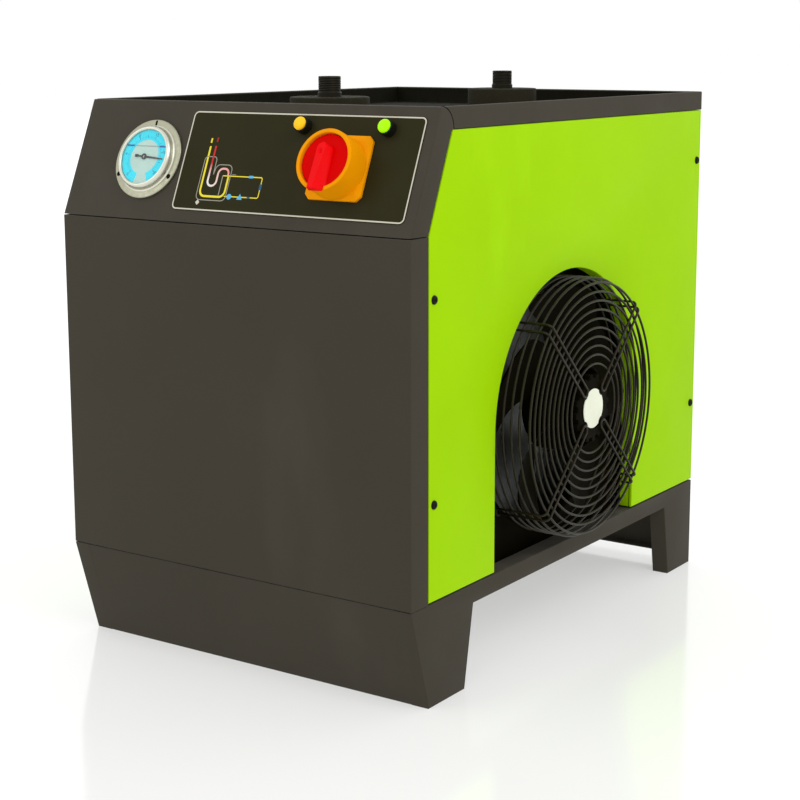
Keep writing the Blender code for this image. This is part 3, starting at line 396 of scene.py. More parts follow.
# ---------------------------------------------------------------- finishes
class Finish:
    """A Principled material wired up node by node from the object's own coordinates."""

    def __init__(self, name, colour, roughness, metallic=0.0, specular=0.5):
        self.material = bpy.data.materials.new(name)
        self.material.use_nodes = True
        self.tree = self.material.node_tree
        self.shader = self.tree.nodes["Principled BSDF"]
        self.shader.inputs["Base Color"].default_value = (*colour, 1.0)
        self.shader.inputs["Roughness"].default_value = roughness
        self.shader.inputs["Metallic"].default_value = metallic
        self.shader.inputs["Specular IOR Level"].default_value = specular
        self.colour = colour
        self.place = self.tree.nodes.new("ShaderNodeTexCoord").outputs["Object"]

    def node(self, kind, **settings):
        """A new node with its settings."""
        made = self.tree.nodes.new(kind)
        for key, value in settings.items():
            setattr(made, key, value)
        return made

    def wire(self, source, target):
        """Join an output to an input."""
        self.tree.links.new(source, target)

    def stretched(self, scale):
        """The object's coordinates, scaled differently along each axis."""
        mapping = self.node("ShaderNodeMapping")
        mapping.inputs["Scale"].default_value = scale
        self.wire(self.place, mapping.inputs["Vector"])
        return mapping.outputs["Vector"]

    def noise(self, scale, detail=3.0, place=None, low=0.0, high=1.0):
        """Fractal noise, spread from low to high."""
        made = self.node("ShaderNodeTexNoise")
        made.inputs["Scale"].default_value = scale
        made.inputs["Detail"].default_value = detail
        self.wire(place or self.place, made.inputs["Vector"])
        return self.spread(made.outputs["Fac"], 0.25, 0.75, low, high)

    def cells(self, scale):
        """Distance to the nearest of scattered points."""
        made = self.node("ShaderNodeTexVoronoi", feature="F1")
        made.inputs["Scale"].default_value = scale
        self.wire(self.place, made.inputs["Vector"])
        return made.outputs["Distance"]

    def spread(self, value, from_low, from_high, low, high):
        """A value moved from one range to another, kept inside the new one."""
        made = self.node("ShaderNodeMapRange")
        made.inputs["From Min"].default_value = from_low
        made.inputs["From Max"].default_value = from_high
        made.inputs["To Min"].default_value = low
        made.inputs["To Max"].default_value = high
        self.wire(value, made.inputs["Value"])
        return made.outputs["Result"]

    def combine(self, operation, first, second):
        """Arithmetic on two values, either of which may be a plain number."""
        made = self.node("ShaderNodeMath", operation=operation)
        for socket, value in zip(made.inputs, (first, second)):
            if isinstance(value, (int, float)):
                socket.default_value = value
            else:
                self.wire(value, socket)
        return made.outputs["Value"]

    def blend(self, share, first, second):
        """A colour between two, which may be plain colours or outputs."""
        made = self.node("ShaderNodeMix", data_type="RGBA")
        self.wire(share, made.inputs["Factor"])
        for socket, value in ((made.inputs[6], first), (made.inputs[7], second)):
            if isinstance(value, tuple):
                socket.default_value = (*value, 1.0)
            else:
                self.wire(value, socket)
        return made.outputs[2]

    def upward(self):
        """1 on faces that look up, 0 on upright ones."""
        geometry = self.node("ShaderNodeNewGeometry")
        parts = self.node("ShaderNodeSeparateXYZ")
        self.wire(geometry.outputs["Normal"], parts.inputs["Vector"])
        return self.spread(parts.outputs["Z"], 0.3, 1.0, 0.0, 1.0)

    def tinted(self, amount, scale=6.0):
        """The finish's own colour, lighter and darker in slow clouds."""
        share = self.noise(scale, 4.0)
        darker = tuple(c * (1 - amount) for c in self.colour)
        lighter = tuple(min(1.0, c * (1 + amount)) for c in self.colour)
        return self.blend(share, darker, lighter)

    def paint(self, colour):
        """Use a colour output."""
        self.wire(colour, self.shader.inputs["Base Color"])

    def rough(self, value):
        """Use a roughness output."""
        self.wire(value, self.shader.inputs["Roughness"])

    def glow(self, colour, strength):
        """Give off an even light of its own."""
        self.shader.inputs["Emission Color"].default_value = (*colour, 1.0)
        self.shader.inputs["Emission Strength"].default_value = strength

    def bumpy(self, *layers):
        """Relief from (height output, depth in metres) layers, one on top of the other; the
        finished material."""
        previous = None
        for height, depth in layers:
            made = self.node("ShaderNodeBump")
            made.inputs["Strength"].default_value = 1.0
            made.inputs["Distance"].default_value = depth
            self.wire(height, made.inputs["Height"])
            if previous:
                self.wire(previous, made.inputs["Normal"])
            previous = made.outputs["Normal"]
        self.wire(previous, self.shader.inputs["Normal"])
        return self.material


def powder_coat(name, colour, roughness, dust, specular):
    """Baked powder paint: fine orange peel, slow clouds of tone, faint rubs and a little dust on top."""
    made = Finish(name, colour, roughness, specular=specular)
    rubs = made.noise(9.0, 6.0, made.stretched((1.0, 1.0, 0.35)))
    rubbed = made.spread(rubs, 0.72, 1.0, 0.0, 0.35)
    lighter = tuple(min(1.0, c * 1.25 + 0.006) for c in colour)
    toned = made.blend(rubbed, made.tinted(0.045), lighter)
    settled = made.combine("MULTIPLY", made.upward(), made.noise(35.0, 5.0, low=0.15, high=dust))
    made.paint(made.blend(settled, toned, (0.33, 0.32, 0.29)))
    made.rough(made.noise(14.0, 4.0, low=roughness - 0.06, high=roughness + 0.06))
    return made.bumpy((made.noise(620.0, 2.0), 0.00003), (made.noise(95.0, 2.0), 0.00005))


def dark_paint():
    """Warm charcoal powder coat of the covers and the base."""
    return powder_coat("dark_paint", (0.046, 0.040, 0.029), 0.52, 0.03, 0.08)


def green_paint():
    """Lime green powder coat of the side panels."""
    return powder_coat("green_paint", (0.325, 0.620, 0.0), 0.42, 0.03, 0.03)


def overlay_film():
    """Matt printed polyester film with a fine grain."""
    made = Finish("overlay_film", (0.022, 0.020, 0.006), 0.42, specular=0.05)
    made.paint(made.tinted(0.06, 20.0))
    made.rough(made.noise(60.0, low=0.36, high=0.5))
    return made.bumpy((made.noise(1800.0, 1.0), 0.00001))


def black_wire():
    """Dipped black plastic on steel wire: uneven gloss and small runs."""
    made = Finish("black_wire", (0.017, 0.014, 0.006), 0.32, specular=0.16)
    made.paint(made.tinted(0.25, 40.0))
    made.rough(made.noise(70.0, low=0.24, high=0.4))
    return made.bumpy((made.noise(400.0, 2.0), 0.00006))


def black_plastic():
    """Moulded black plastic with a fine spark-eroded grain."""
    made = Finish("black_plastic", (0.006, 0.006, 0.0042), 0.5, specular=0.12)
    made.paint(made.tinted(0.2, 25.0))
    made.rough(made.noise(45.0, low=0.42, high=0.6))
    return made.bumpy((made.cells(1500.0), 0.00003))


def fan_black():
    """Dark fan paint, darkened further as painted shade for the cabinet's shadowed inside, with a dusting
    of lint along the surfaces that look up.
    """
    # Base colour darker than the paint itself: painted shade for the cabinet's shadowed inside.
    made = Finish("fan_black", (0.0045, 0.0035, 0.001), 0.6, specular=0.02)
    lint = made.combine("MULTIPLY", made.upward(), made.noise(120.0, 5.0, low=0.0, high=0.12))
    made.paint(made.blend(lint, made.tinted(0.3, 18.0), (0.035, 0.028, 0.012)))
    made.rough(made.noise(30.0, low=0.5, high=0.7))
    return made.bumpy((made.noise(500.0), 0.00003))


def white_label():
    """Pale paper label under varnish, a little yellowed in slow clouds."""
    made = Finish("white_label", (0.76, 0.79, 0.64), 0.5, specular=0.3)
    made.paint(made.tinted(0.05, 60.0))
    made.rough(made.noise(150.0, low=0.44, high=0.58))
    return made.bumpy((made.noise(900.0), 0.00001))


def galvanised():
    """Zinc spangle: crystal cells of differing grey and gloss."""
    made = Finish("galvanised", (0.42, 0.43, 0.44), 0.42, metallic=1.0)
    cells = made.spread(made.cells(140.0), 0.0, 0.8, 0.0, 1.0)
    made.paint(made.blend(cells, (0.34, 0.35, 0.37), (0.52, 0.53, 0.53)))
    made.rough(made.spread(cells, 0.0, 1.0, 0.34, 0.52))
    return made.bumpy((made.noise(260.0), 0.00002))


def bare_metal(name, colour, roughness, tarnish, grain):
    """Metal with stretched draw marks, and tarnish in slow clouds."""
    made = Finish(name, colour, roughness, metallic=1.0)
    marks = made.noise(60.0, 4.0, made.stretched(grain))
    share = made.combine("MULTIPLY", made.noise(25.0, 5.0), 0.6)
    made.paint(made.blend(share, colour, tarnish))
    made.rough(made.spread(marks, 0.0, 1.0, roughness - 0.08, roughness + 0.12))
    return made.bumpy((marks, 0.00001))


def copper():
    """Drawn copper tube with brown tarnish."""
    return bare_metal("copper", (0.72, 0.33, 0.18), 0.3, (0.38, 0.15, 0.07), (1, 1, 0.1))


def brass():
    """Forged brass with dull patches."""
    return bare_metal("brass", (0.66, 0.47, 0.20), 0.34, (0.36, 0.25, 0.10), (1, 1, 1))


def port_steel():
    """Blackened steel pipe with a worn sheen."""
    return bare_metal("port_steel", (0.030, 0.028, 0.020), 0.5, (0.014, 0.013, 0.008), (1, 1, 0.15))


def stainless():
    """Satin stainless steel, warm grey, with very fine marks."""
    return bare_metal("stainless", (0.40, 0.40, 0.30), 0.4, (0.32, 0.32, 0.23), (4, 4, 4))


def aluminium_fins():
    """Mill aluminium with a grey bloom."""
    return bare_metal("aluminium_fins", (0.55, 0.56, 0.57), 0.36, (0.38, 0.39, 0.40), (1, 1, 0.2))


def compressor_paint():
    """Black stoving enamel with long runs."""
    made = Finish("compressor_paint", (0.016, 0.016, 0.017), 0.3, specular=0.5)
    made.paint(made.tinted(0.2, 14.0))
    made.rough(made.noise(22.0, low=0.22, high=0.4))
    return made.bumpy((made.noise(60.0, 2.0, made.stretched((1, 1, 0.3))), 0.00015))


def rubber(name="rubber", colour=(0.021, 0.019, 0.009)):
    """Dull rubber, speckled where it has bloomed."""
    made = Finish(name, colour, 0.7, specular=0.1)
    bloom = made.spread(made.noise(260.0, 5.0), 0.6, 1.0, 0.0, 0.3)
    made.paint(made.blend(bloom, made.tinted(0.15, 30.0), tuple(c * 2.2 for c in colour)))
    made.rough(made.noise(80.0, low=0.62, high=0.8))
    return made.bumpy((made.noise(700.0), 0.00006))


def insulation():
    """Closed-cell foam: rounded pores over slow swells."""
    made = Finish("insulation", (0.020, 0.020, 0.020), 0.9, specular=0.15)
    made.paint(made.tinted(0.3, 30.0))
    made.rough(made.noise(50.0, low=0.82, high=0.95))
    return made.bumpy((made.cells(320.0), 0.0005), (made.noise(22.0), 0.002))


def plastic(name, colour, roughness, specular=0.35):
    """Coloured moulded plastic: slow tone clouds, uneven gloss, faint grain and hairline rubs."""
    made = Finish(name, colour, roughness, specular=specular)
    rubs = made.spread(made.noise(50.0, 8.0, made.stretched((1.0, 0.2, 1.0))), 0.7, 1.0, 0.0, 0.2)
    darker = tuple(c * 0.8 for c in colour)
    made.paint(made.blend(rubs, made.tinted(0.05, 45.0), darker))
    made.rough(made.noise(90.0, low=roughness - 0.07, high=roughness + 0.08))
    return made.bumpy((made.noise(1300.0), 0.00001))


def lens(name, colour):
    """Lit signal lens: saturated, faintly grained and glowing a little from inside."""
    made = Finish(name, colour, 0.3, specular=0.12)
    made.paint(made.tinted(0.06, 150.0))
    made.rough(made.noise(300.0, low=0.16, high=0.3))
    made.glow(colour, 0.12)
    return made.bumpy((made.noise(900.0), 0.00002))


def window_glass():
    """Thin clear window: nearly see-through, with faint dust and a soft gloss."""
    made = Finish("window_glass", (0.9, 0.95, 0.95), 0.06, specular=0.1)
    made.shader.inputs["Alpha"].default_value = 0.03
    made.paint(made.tinted(0.05, 40.0))
    made.rough(made.noise(70.0, low=0.03, high=0.12))
    return made.bumpy((made.noise(30.0), 0.00001))


def hairpin_print():
    """Print that fades along the line: red, pink, white and back to pink."""
    made = Finish("hairpin_print", (0.6, 0.02, 0.02), 0.5, specular=0.2)
    along = made.node("ShaderNodeAttribute", attribute_name="along")
    ramp = made.node("ShaderNodeValToRGB")
    stops = ramp.color_ramp.elements
    stops[0].color = (0.58, 0.01, 0.010, 1)
    stops[1].position = 0.95
    stops[1].color = (0.80, 0.30, 0.27, 1)
    stops.new(0.22).color = (0.52, 0.012, 0.015, 1)
    stops.new(0.33).color = (0.75, 0.45, 0.43, 1)
    stops.new(0.44).color = (0.8, 0.8, 0.76, 1)
    made.wire(along.outputs["Fac"], ramp.inputs["Fac"])
    grain = made.noise(900.0, low=0.0, high=0.12)
    made.paint(made.blend(grain, ramp.outputs["Color"], (0.05, 0.05, 0.04)))
    made.rough(made.noise(200.0, low=0.42, high=0.55))
    return made.bumpy((made.noise(1500.0), 0.00001))


def printed(name, colour):
    """Screen-printed ink with a slightly broken film."""
    made = Finish(name, colour, 0.48, specular=0.2)
    broken = made.noise(1100.0, 3.0, low=0.0, high=0.18)
    made.paint(made.blend(broken, made.tinted(0.04, 60.0), tuple(c * 0.7 for c in colour)))
    made.rough(made.noise(200.0, low=0.42, high=0.55))
    return made.bumpy((made.noise(1500.0), 0.00001))


FINISHES = {
    "dark_paint": dark_paint(),
    "green_paint": green_paint(),
    "overlay_film": overlay_film(),
    "black_wire": black_wire(),
    "black_plastic": black_plastic(),
    # Black fan paint darkened as painted shade; also used on the shroud in place of dark paint.
    "fan_black": fan_black(),
    "white_label": white_label(),
    # Near-black rubber finish used as painted shade inside the top tray and at the bottom of the gauge
    # flange holes.
    "lining": rubber("lining", (0.005, 0.0045, 0.001)),
    "galvanised": galvanised(),
    "aluminium_fins": aluminium_fins(),
    "compressor_paint": compressor_paint(),
    "rubber": rubber(),
    "insulation": insulation(),
    "copper": copper(),
    "brass": brass(),
    "port_steel": port_steel(),
    "stainless": stainless(),
    "bezel_steel": bare_metal("bezel_steel", (0.72, 0.72, 0.62), 0.32, (0.62, 0.62, 0.52), (1, 1, 1)),
    "dial_print": printed("dial_print", (0.44, 0.62, 0.56)),
    "needle_black": plastic("needle_black", (0.006, 0.006, 0.006), 0.4),
    "window_glass": window_glass(),
    "switch_yellow": plastic("switch_yellow", (0.80, 0.29, 0.0), 0.42, 0.03),
    "switch_red": plastic("switch_red", (0.62, 0.0, 0.0), 0.4, 0.02),
    # Lighter copy of switch_red: painted highlight on the raised grip bar.
    "bar_red_painted_highlight": plastic("bar_red_painted_highlight", (0.78, 0.002, 0.004), 0.4, 0.06),
    "amber_lens": lens("amber_lens", (0.84, 0.50, 0.012)),
    "green_lens": lens("green_lens", (0.36, 0.90, 0.0)),
    "tube_blue": plastic("tube_blue", (0.04, 0.16, 0.50), 0.35),
    "box_grey": plastic("box_grey", (0.46, 0.46, 0.44), 0.5),
}
PRINT_COLOURS = {
    "print_white": (0.56, 0.54, 0.44),
    "print_grey": (0.30, 0.29, 0.24),
    "print_yellow": (0.76, 0.64, 0.03),
    "print_red": (0.32, 0.008, 0.010),
    "print_blue": (0.10, 0.42, 0.70),
    "print_navy": (0.02, 0.09, 0.19),
    "dial_cyan": (0.012, 0.70, 0.86),
    "dial_teal": (0.004, 0.13, 0.26),
    "dial_blue": (0.008, 0.10, 0.36),
}
PRINTS = {name: printed(name, colour) for name, colour in PRINT_COLOURS.items()}
PRINTS["hairpin_print"] = hairpin_print()


def dress_solids():
    """Give every CAD node the finish of its own material slot."""
    for obj in frame["nodes"].values():
        for slot in obj.material_slots:
            slot.material = FINISHES[slot.material.name.split(".")[0]]


# ---------------------------------------------------------------- sheet covers
def front_cover():
    """Flat front sheet folded back along all four edges."""
    outline = rectangle(-HALF, BASE_TOP, HALF, CREASE - 0.0003)
    shape = folded(outline, SHEET, BEND, RETURN)
    piece("front_cover", [shape], front(), "dark_paint", stands_for=["front_panel"])


def ear_seam(gap=0.0):
    """The curved seam from the slope's top corner down to the green panel's top corner."""
    centre = (SLOPE_DEPTH + 0.0018, BAND + 0.0005)
    radii = np.array((GREEN_TOP_FRONT - centre[0] + 0.0025 + gap, TOP - centre[1] - 0.0004 + gap))
    return arc(radii, centre, 0, 90, 10)


def control_cover():
    """Sloped control panel with its cheeks: the side view carried across the width as one rounded
    body, then cleared out behind the sheet."""
    bottom = CREASE + 0.0002
    seam = ear_seam()
    green = np.array([(RETURN, bottom), (GREEN_TOP_FRONT - 0.0008, BAND - 0.001)])
    lean = SLOPE_UP.y / SLOPE_UP.z
    foot = [(0.0008 * lean, bottom + 0.0006)]
    tip = [(SLOPE_DEPTH - 0.0006 * lean, TOP - 0.0006)]
    outline = np.concatenate([foot, green, seam, tip])
    body = slab(outline, -HALF, HALF, edge=BEND, back_edge=BEND)
    cover = piece("control_cover", [body], right_side(), "dark_paint", stands_for=["control_panel"])
    drop = SHEET / SLOPE_UP.z
    behind = np.array([
        (drop - 0.03 * lean, CREASE - 0.03),
        (0.2, CREASE - 0.03),
        (0.2, TOP + 0.03),
        (SLOPE_DEPTH + drop + 0.03 * lean, TOP + 0.03),
    ])
    cut(cover, [slab(behind, -HALF + SHEET, HALF - SHEET)], right_side(), "dark_paint")


def top_tray():
    """Top cover: a rounded rim carried round the plan outline, its floor sunk between under a near-black
    sheet that is painted shade, and a shallow rebate at each front corner for the cheeks of the control
    cover."""
    front_edge = SLOPE_DEPTH + 0.0021
    outline = rectangle(-HALF, front_edge, HALF, DEPTH)
    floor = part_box("port_collar_front")[0].z - 0.0003
    rim = 0.0025
    bend = 0.0012
    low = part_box("top_cover")[0].z
    turn = np.linspace(0, np.pi / 2, 5)
    profile = [(0.0006, low), (0, low + 0.0006)]
    profile += [(bend * (1 - math.cos(a)), TOP - bend * (1 - math.sin(a))) for a in turn]
    profile += [(rim - bend * (1 - math.cos(a)), TOP - bend * (1 - math.sin(a))) for a in turn[::-1]]
    profile += [(rim, floor + 0.002), (rim + 0.0006, floor + 0.0006), (rim + 0.002, floor)]
    tray = piece("top_tray", [carried(outline, profile)], upright(), "dark_paint", stands_for=["top_cover"])
    wall = rim + 0.0002
    # Profile of a near-black sheet over the tray's inner walls and floor: painted shade.
    lining = [
        (wall, floor + 0.0001),
        (wall, TOP - 0.0014),
        (wall + 0.0004, TOP - 0.0012),
        (wall + 0.0008, TOP - 0.0014),
        (wall + 0.0008, floor + 0.0024),
        (wall + 0.0013, floor + 0.0010),
        (wall + 0.0026, floor + 0.0005),
    ]
    piece("tray_painted_shade", [carried(outline, lining)], upright(), "lining", slot="dark_paint")
    seam = ear_seam(0.0008)
    foot = [(0.03, BAND - 0.02), (seam[0, 0], BAND - 0.02)]
    rebate = np.concatenate([foot, seam, [(0.03, TOP + 0.0012)]])
    depth = SHEET + 0.0006
    for side in (-1, 1):
        reach = sorted((side * (HALF - depth), side * (HALF + 0.01)))
        cut(tray, [slab(rebate, *reach)], right_side(), "dark_paint")


def green_outline():
    """Edge of a side panel seen from the right: rear, top, slanted front and bottom."""
    return [
        (DEPTH, BASE_TOP + GREEN_SEAM),
        (DEPTH, BAND),
        (GREEN_TOP_FRONT + GREEN_SEAM, BAND),
        (RETURN + GREEN_SEAM, CREASE),
        (RETURN + GREEN_SEAM, BASE_TOP + GREEN_SEAM),
    ]


def right_panel():
    """Green panel folded at its edges, with the arched fan opening and its turned-in flange."""
    bottom = BASE_TOP + GREEN_SEAM
    front_foot = (ARCH_CENTRE[0] - ARCH_RADIUS, bottom)
    rear_foot = (ARCH_CENTRE[0] + ARCH_RADIUS, bottom)
    opening = np.concatenate([[front_foot], arc(ARCH_RADIUS, ARCH_CENTRE, 180, 0, 48), [rear_foot]])
    face = folded(np.concatenate([green_outline(), opening]), SHEET, BEND, PANEL_FLANGE)
    outer = arc(ARCH_RADIUS + SHEET, ARCH_CENTRE, 0, 180, 48)
    rear_end = [(rear_foot[0] + SHEET, bottom)]
    front_end = [(front_foot[0] - SHEET, bottom)]
    strip = np.concatenate([opening, rear_end, outer, front_end])
    flange_depth = HALF - width_of("side_panel_right")[0]
    flange = slab(strip, -flange_depth, -0.003)
    piece("green_panel_right", [face, flange], right_side(HALF), "green_paint",
          stands_for=["side_panel_right"])


def stadium(left, low, length, height, steps=6):
    """A slot outline with round ends."""
    radius = height / 2
    right_end = arc(radius, (left + length - radius, low + radius), -90, 90, steps)
    left_end = arc(radius, (left + radius, low + radius), 90, 270, steps)
    return np.concatenate([right_end, left_end])


def louvre(left, low, length, height):
    """A pressed hood behind an air slot: half an arch whose section fades out at both ends."""
    along = np.linspace(0, 1, 13)
    around = np.linspace(0, np.pi * 0.62, 7)
    fade = np.sqrt(np.clip(1 - (2 * along - 1) ** 8, 0.02, 1))[:, None]
    reach = height * 1.6
    thickness = 0.0011
    start = -0.0016
    sheets = []
    for skin in (0.0, thickness):
        depth = start - (reach + skin) * fade * np.sin(around)
        climb = low + height - skin * 0.5 + (height * 1.1) * (1 - np.cos(around)) * fade - 0.0004
        across = np.broadcast_to((left + length * along)[:, None], depth.shape)
        sheets.append(np.stack([across, climb, depth], -1))
    section = np.concatenate([sheets[0], sheets[1][:, ::-1]], axis=1)
    return grid(section, close=True, caps=True)


def slot_places(rows, first_row, pitch, columns, length):
    """Left end, lower edge, length and height of every air slot."""
    height = 0.0038
    return [(left, first_row + pitch * row, length, height) for left in columns for row in range(rows)]


def vented_panel(names, node, outline, place, finish, slots, holes):
    """A folded panel with air slots, a hood behind each, and round holes of (radius, steps, centre);
    the names are the panel's and the hoods'."""
    face = folded(outline, SHEET, BEND, PANEL_FLANGE)
    panel = piece(names[0], [face], place, finish, stands_for=[node])
    edges = [stadium(*slot) for slot in slots] + [circle(*hole) for hole in holes]
    cut(panel, [slab(edge, -0.01, 0.01) for edge in edges], place, finish)
    piece(names[1], [louvre(*slot) for slot in slots], place, finish)


def left_panel():
    """Green panel with two columns of air slots and four screw holes."""
    holes = []
    for number in range(1, 5):
        centre = centre_of(f"side_screw_right_{number}")
        holes.append((0.0050, 24, (-centre.y, centre.z)))
    slots = slot_places(rows=9, first_row=0.180, pitch=0.028, columns=(-0.280, -0.480), length=0.150)
    vented_panel(("green_panel_left", "louvres_left"), "side_panel_left", mirrored(green_outline()),
                 left_side(-HALF), "green_paint", slots, holes)


def back_panel():
    """Dark rear panel with seven air slots and holes for the gland and the drain."""
    holes = []
    for node in ("cable_gland", "drain_outlet"):
        left, right = width_of(node)
        centre = centre_of(node)
        holes.append(((right - left) / 2 * 0.62, 32, (-centre.x, centre.z)))
    slots = slot_places(rows=7, first_row=0.330, pitch=0.026, columns=(-0.130,), length=0.260)
    half = HALF - 0.0046
    vented_panel(("back_panel", "louvres_rear"), "rear_panel", rectangle(-half, BASE_TOP, half, BAND),
                 rear(0, DEPTH), "dark_paint", slots, holes)


# ---------------------------------------------------------------- base
LEG_FRONT_FLOOR = 0.096
LEG_FRONT_TOP = 0.112
LEG_REAR_FLOOR = 0.560
LEG_REAR_TOP = 0.546
CUTOUT_TOP = 0.0855
LEG_FLANGE = 0.020


def base_side(name, side, node):
    """Base side sheet with two legs, every edge folded in; the fold makes feet and cutout flange."""
    top = BASE_TOP - SEAM
    hair = 0.00005
    outline = np.array([
        (TOE + hair, 0),
        (LEG_FRONT_FLOOR, 0),
        (LEG_FRONT_TOP, CUTOUT_TOP),
        (LEG_REAR_TOP, CUTOUT_TOP),
        (LEG_REAR_FLOOR, 0),
        (DEPTH - hair, 0),
        (DEPTH - hair, top),
        (hair, top),
    ])
    place = right_side(HALF)
    if side < 0:
        outline = mirrored(outline)
        place = left_side(-HALF)
    shape = folded(outline, BASE_SHEET, BEND, LEG_FLANGE)
    piece(name, [shape], place, "dark_paint", stands_for=[node])


def skirt(name, node, section, radii):
    """A folded strip: a side view with rounded corners carried across the width."""
    outline = rounded(section, np.array(radii), 4)
    reach = HALF - BEND
    piece(name, [slab(outline, -reach, reach)], right_side(), "dark_paint", stands_for=[node])


def skirts():
    """Sloping front skirt and upright rear skirt, each folded under along its lower edge."""
    top = BASE_TOP - SEAM
    lean = TOE * (1 - top / BASE_TOP)
    front_section = [
        (TOE, 0),
        (TOE + 0.018, 0),
        (TOE + 0.018, 0.002),
        (TOE + 0.0034, 0.002),
        (lean + 0.0022, top - 0.002),
        (lean + 0.014, top - 0.002),
        (lean + 0.014, top),
        (lean, top),
    ]
    skirt("front_skirt", "base_front_skirt", front_section, [0.0012] + [0.0003] * 6 + [0.0012])
    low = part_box("base_rear_skirt")[0].z
    rear_section = [
        (DEPTH, low),
        (DEPTH, top),
        (DEPTH - 0.002, top),
        (DEPTH - 0.002, low + 0.002),
        (DEPTH - 0.016, low + 0.002),
        (DEPTH - 0.016, low),
    ]
    skirt("rear_skirt", "base_rear_skirt", rear_section, [0.0012, 0.0005, 0.0005] + [0.0003] * 3)


def pan_head_screw():
    """Pan head with a cross recess: height falls as a dome, less a groove along two crossed lines."""
    radius = 0.0045
    rings = np.linspace(0, 1, 13)[:, None]
    turn = np.linspace(0, 2 * np.pi, 32, endpoint=False)[None]
    x = rings * radius * np.cos(turn)
    y = rings * radius * np.sin(turn)
    dome = 0.0025 * (1 - rings ** 4) ** 0.5 + 0.0 * turn
    groove = np.minimum(np.abs(x), np.abs(y))
    reach = np.maximum(np.abs(x), np.abs(y))
    sunk = np.clip(1 - groove / 0.0007, 0, 1) * np.clip(1 - reach / 0.0026, 0, 1) ** 0.3
    top = np.stack([x, y, dome - 0.0016 * sunk], -1)
    skirt = top[-1:] - np.array((0, 0, 0.004))
    foot = skirt * np.array((0, 0, 1.0))
    return grid(np.concatenate([foot, skirt, top[::-1]]), close=True)


def screws():
    """Pan-head screws of both side panels and the rear panel."""
    for number in range(1, 5):
        node = f"side_screw_right_{number}"
        centre = centre_of(node)
        head = spun(pan_head_screw(), 25 * number)
        place = right_side(HALF, centre.y, centre.z)
        piece(f"screw_right_{number}", [head], place, "black_plastic", stands_for=[node])
        place = left_side(0.0026 - HALF, centre.y, centre.z)
        piece(f"screw_left_{number}", [head], place, "black_plastic")
    for number, (x, z) in enumerate([(-0.19, 0.50), (0.19, 0.50), (-0.19, 0.20), (0.19, 0.20)], 1):
        head = spun(pan_head_screw(), 40 * number)
        piece(f"screw_rear_{number}", [head], rear(x, DEPTH, z), "black_plastic")


# ---------------------------------------------------------------- fan side
def on_fan(rise=0.0):
    """Local z runs outwards along the fan axis, from the side face of the guard."""
    return right_side(rise, FAN.y, FAN.z)


GUARD_PITCH = 0.0096
GUARD_INNER = 0.048
SPOKE_INNER = 0.0290
GUARD_FACE_RINGS = 10
GUARD_SIDE_RINGS = 5
GUARD_SIDE_RADIUS = 0.1385
SPOKE_SPREAD = 0.0049


def guard():
    """Wire guard: ten rings on the face, five round the side, four double spokes bent back to the
    shroud, and a small loop of wire round each hub screw."""
    shapes = [ring(GUARD_INNER + GUARD_PITCH * k, GUARD_FACE, GUARD_WIRE) for k in range(GUARD_FACE_RINGS)]
    for k in range(GUARD_SIDE_RINGS):
        shapes.append(ring(GUARD_SIDE_RADIUS, GUARD_FACE - GUARD_PITCH * (k + 1), GUARD_WIRE))
    over = GUARD_FACE + 1.2 * GUARD_WIRE
    rim = GUARD_SIDE_RADIUS + 1.2 * GUARD_WIRE
    for number in range(4):
        for side in (-1, 1):
            spread = side * SPOKE_SPREAD
            corners = [(SPOKE_INNER, spread, over), (rim, spread, over), (rim, spread, GUARD_FOOT)]
            route = smooth_route(corners, 0.006)
            shapes.append(spun(rod(route, GUARD_WIRE, up=(0, 1, 0)), 45 + 90 * number))
        eye = arc(SPOKE_SPREAD, (SPOKE_INNER, 0), 90, 270, 10)
        eye = np.concatenate([eye, np.full((len(eye), 1), over)], 1)
        shapes.append(spun(rod(eye, GUARD_WIRE, up=(0, 0, 1)), 45 + 90 * number))
        foot = arc(SPOKE_SPREAD, (0, 0), -90, 90, 8)
        hook = np.stack([rim + foot[:, 0], foot[:, 1], np.full(len(foot), GUARD_FOOT + GUARD_WIRE)], -1)
        shapes.append(spun(rod(hook, GUARD_WIRE, up=(0, 0, 1)), 45 + 90 * number))
    piece("wire_guard", shapes, on_fan(), "black_wire", crisp=60, stands_for=["fan_guard"])


def motor():
    """Fan motor: turned can with cooling ribs, and a front flange whose rim has square notches."""
    back, face = width_of("fan_motor")
    turn = np.linspace(0, 2 * np.pi, 240, endpoint=False)
    tooth = np.clip(4 * np.sin(16 * turn), -1, 1)
    rim_radius = 0.0345
    tooth_height = 0.0022
    edge = cylindrical(rim_radius + tooth_height * tooth, turn, 0)[:, :2]
    flange = slab(edge, face - 0.0075, face, edge=0.0008)
    ribs = 0.0285 + 0.0015 * np.sign(np.sin(np.linspace(0, 40 * np.pi, 241)[:-1] + 0.01))
    heights = np.linspace(face - 0.010, back + 0.004, 240)
    can = [(0, face - 0.005), (0.030, face - 0.005)]
    can += list(zip(ribs, heights))
    can += [(0.024, back), (0, back)]
    shapes = [flange, turned(can, 64)]
    boss = [(0, 0.0012), (0.0034, 0.0010), (0.0042, 0), (0.0042, -0.004), (0, -0.004)]
    screw = shifted(turned(boss, 24), (0.0285, 0, face))
    shapes += [spun(screw, 45 + 90 * number) for number in range(4)]
    piece("motor_can", shapes, on_fan(), "fan_black", stands_for=["fan_motor"])


def label():
    """Round label with four bites at its rim where the screws stand."""
    low, high = width_of("fan_motor_label")
    turn = np.linspace(0, 2 * np.pi, 192, endpoint=False)
    bite = np.clip(1 - ((np.mod(turn, np.pi / 2) - np.pi / 4) / 0.19) ** 2, 0, None) ** 0.5
    radius = 0.0212
    bite_depth = 0.0020
    edge = cylindrical(radius - bite_depth * bite, turn, 0)[:, :2]
    piece("motor_label", [slab(edge, low, high, edge=0.0002)], on_fan(), "white_label",
          stands_for=["fan_motor_label"])


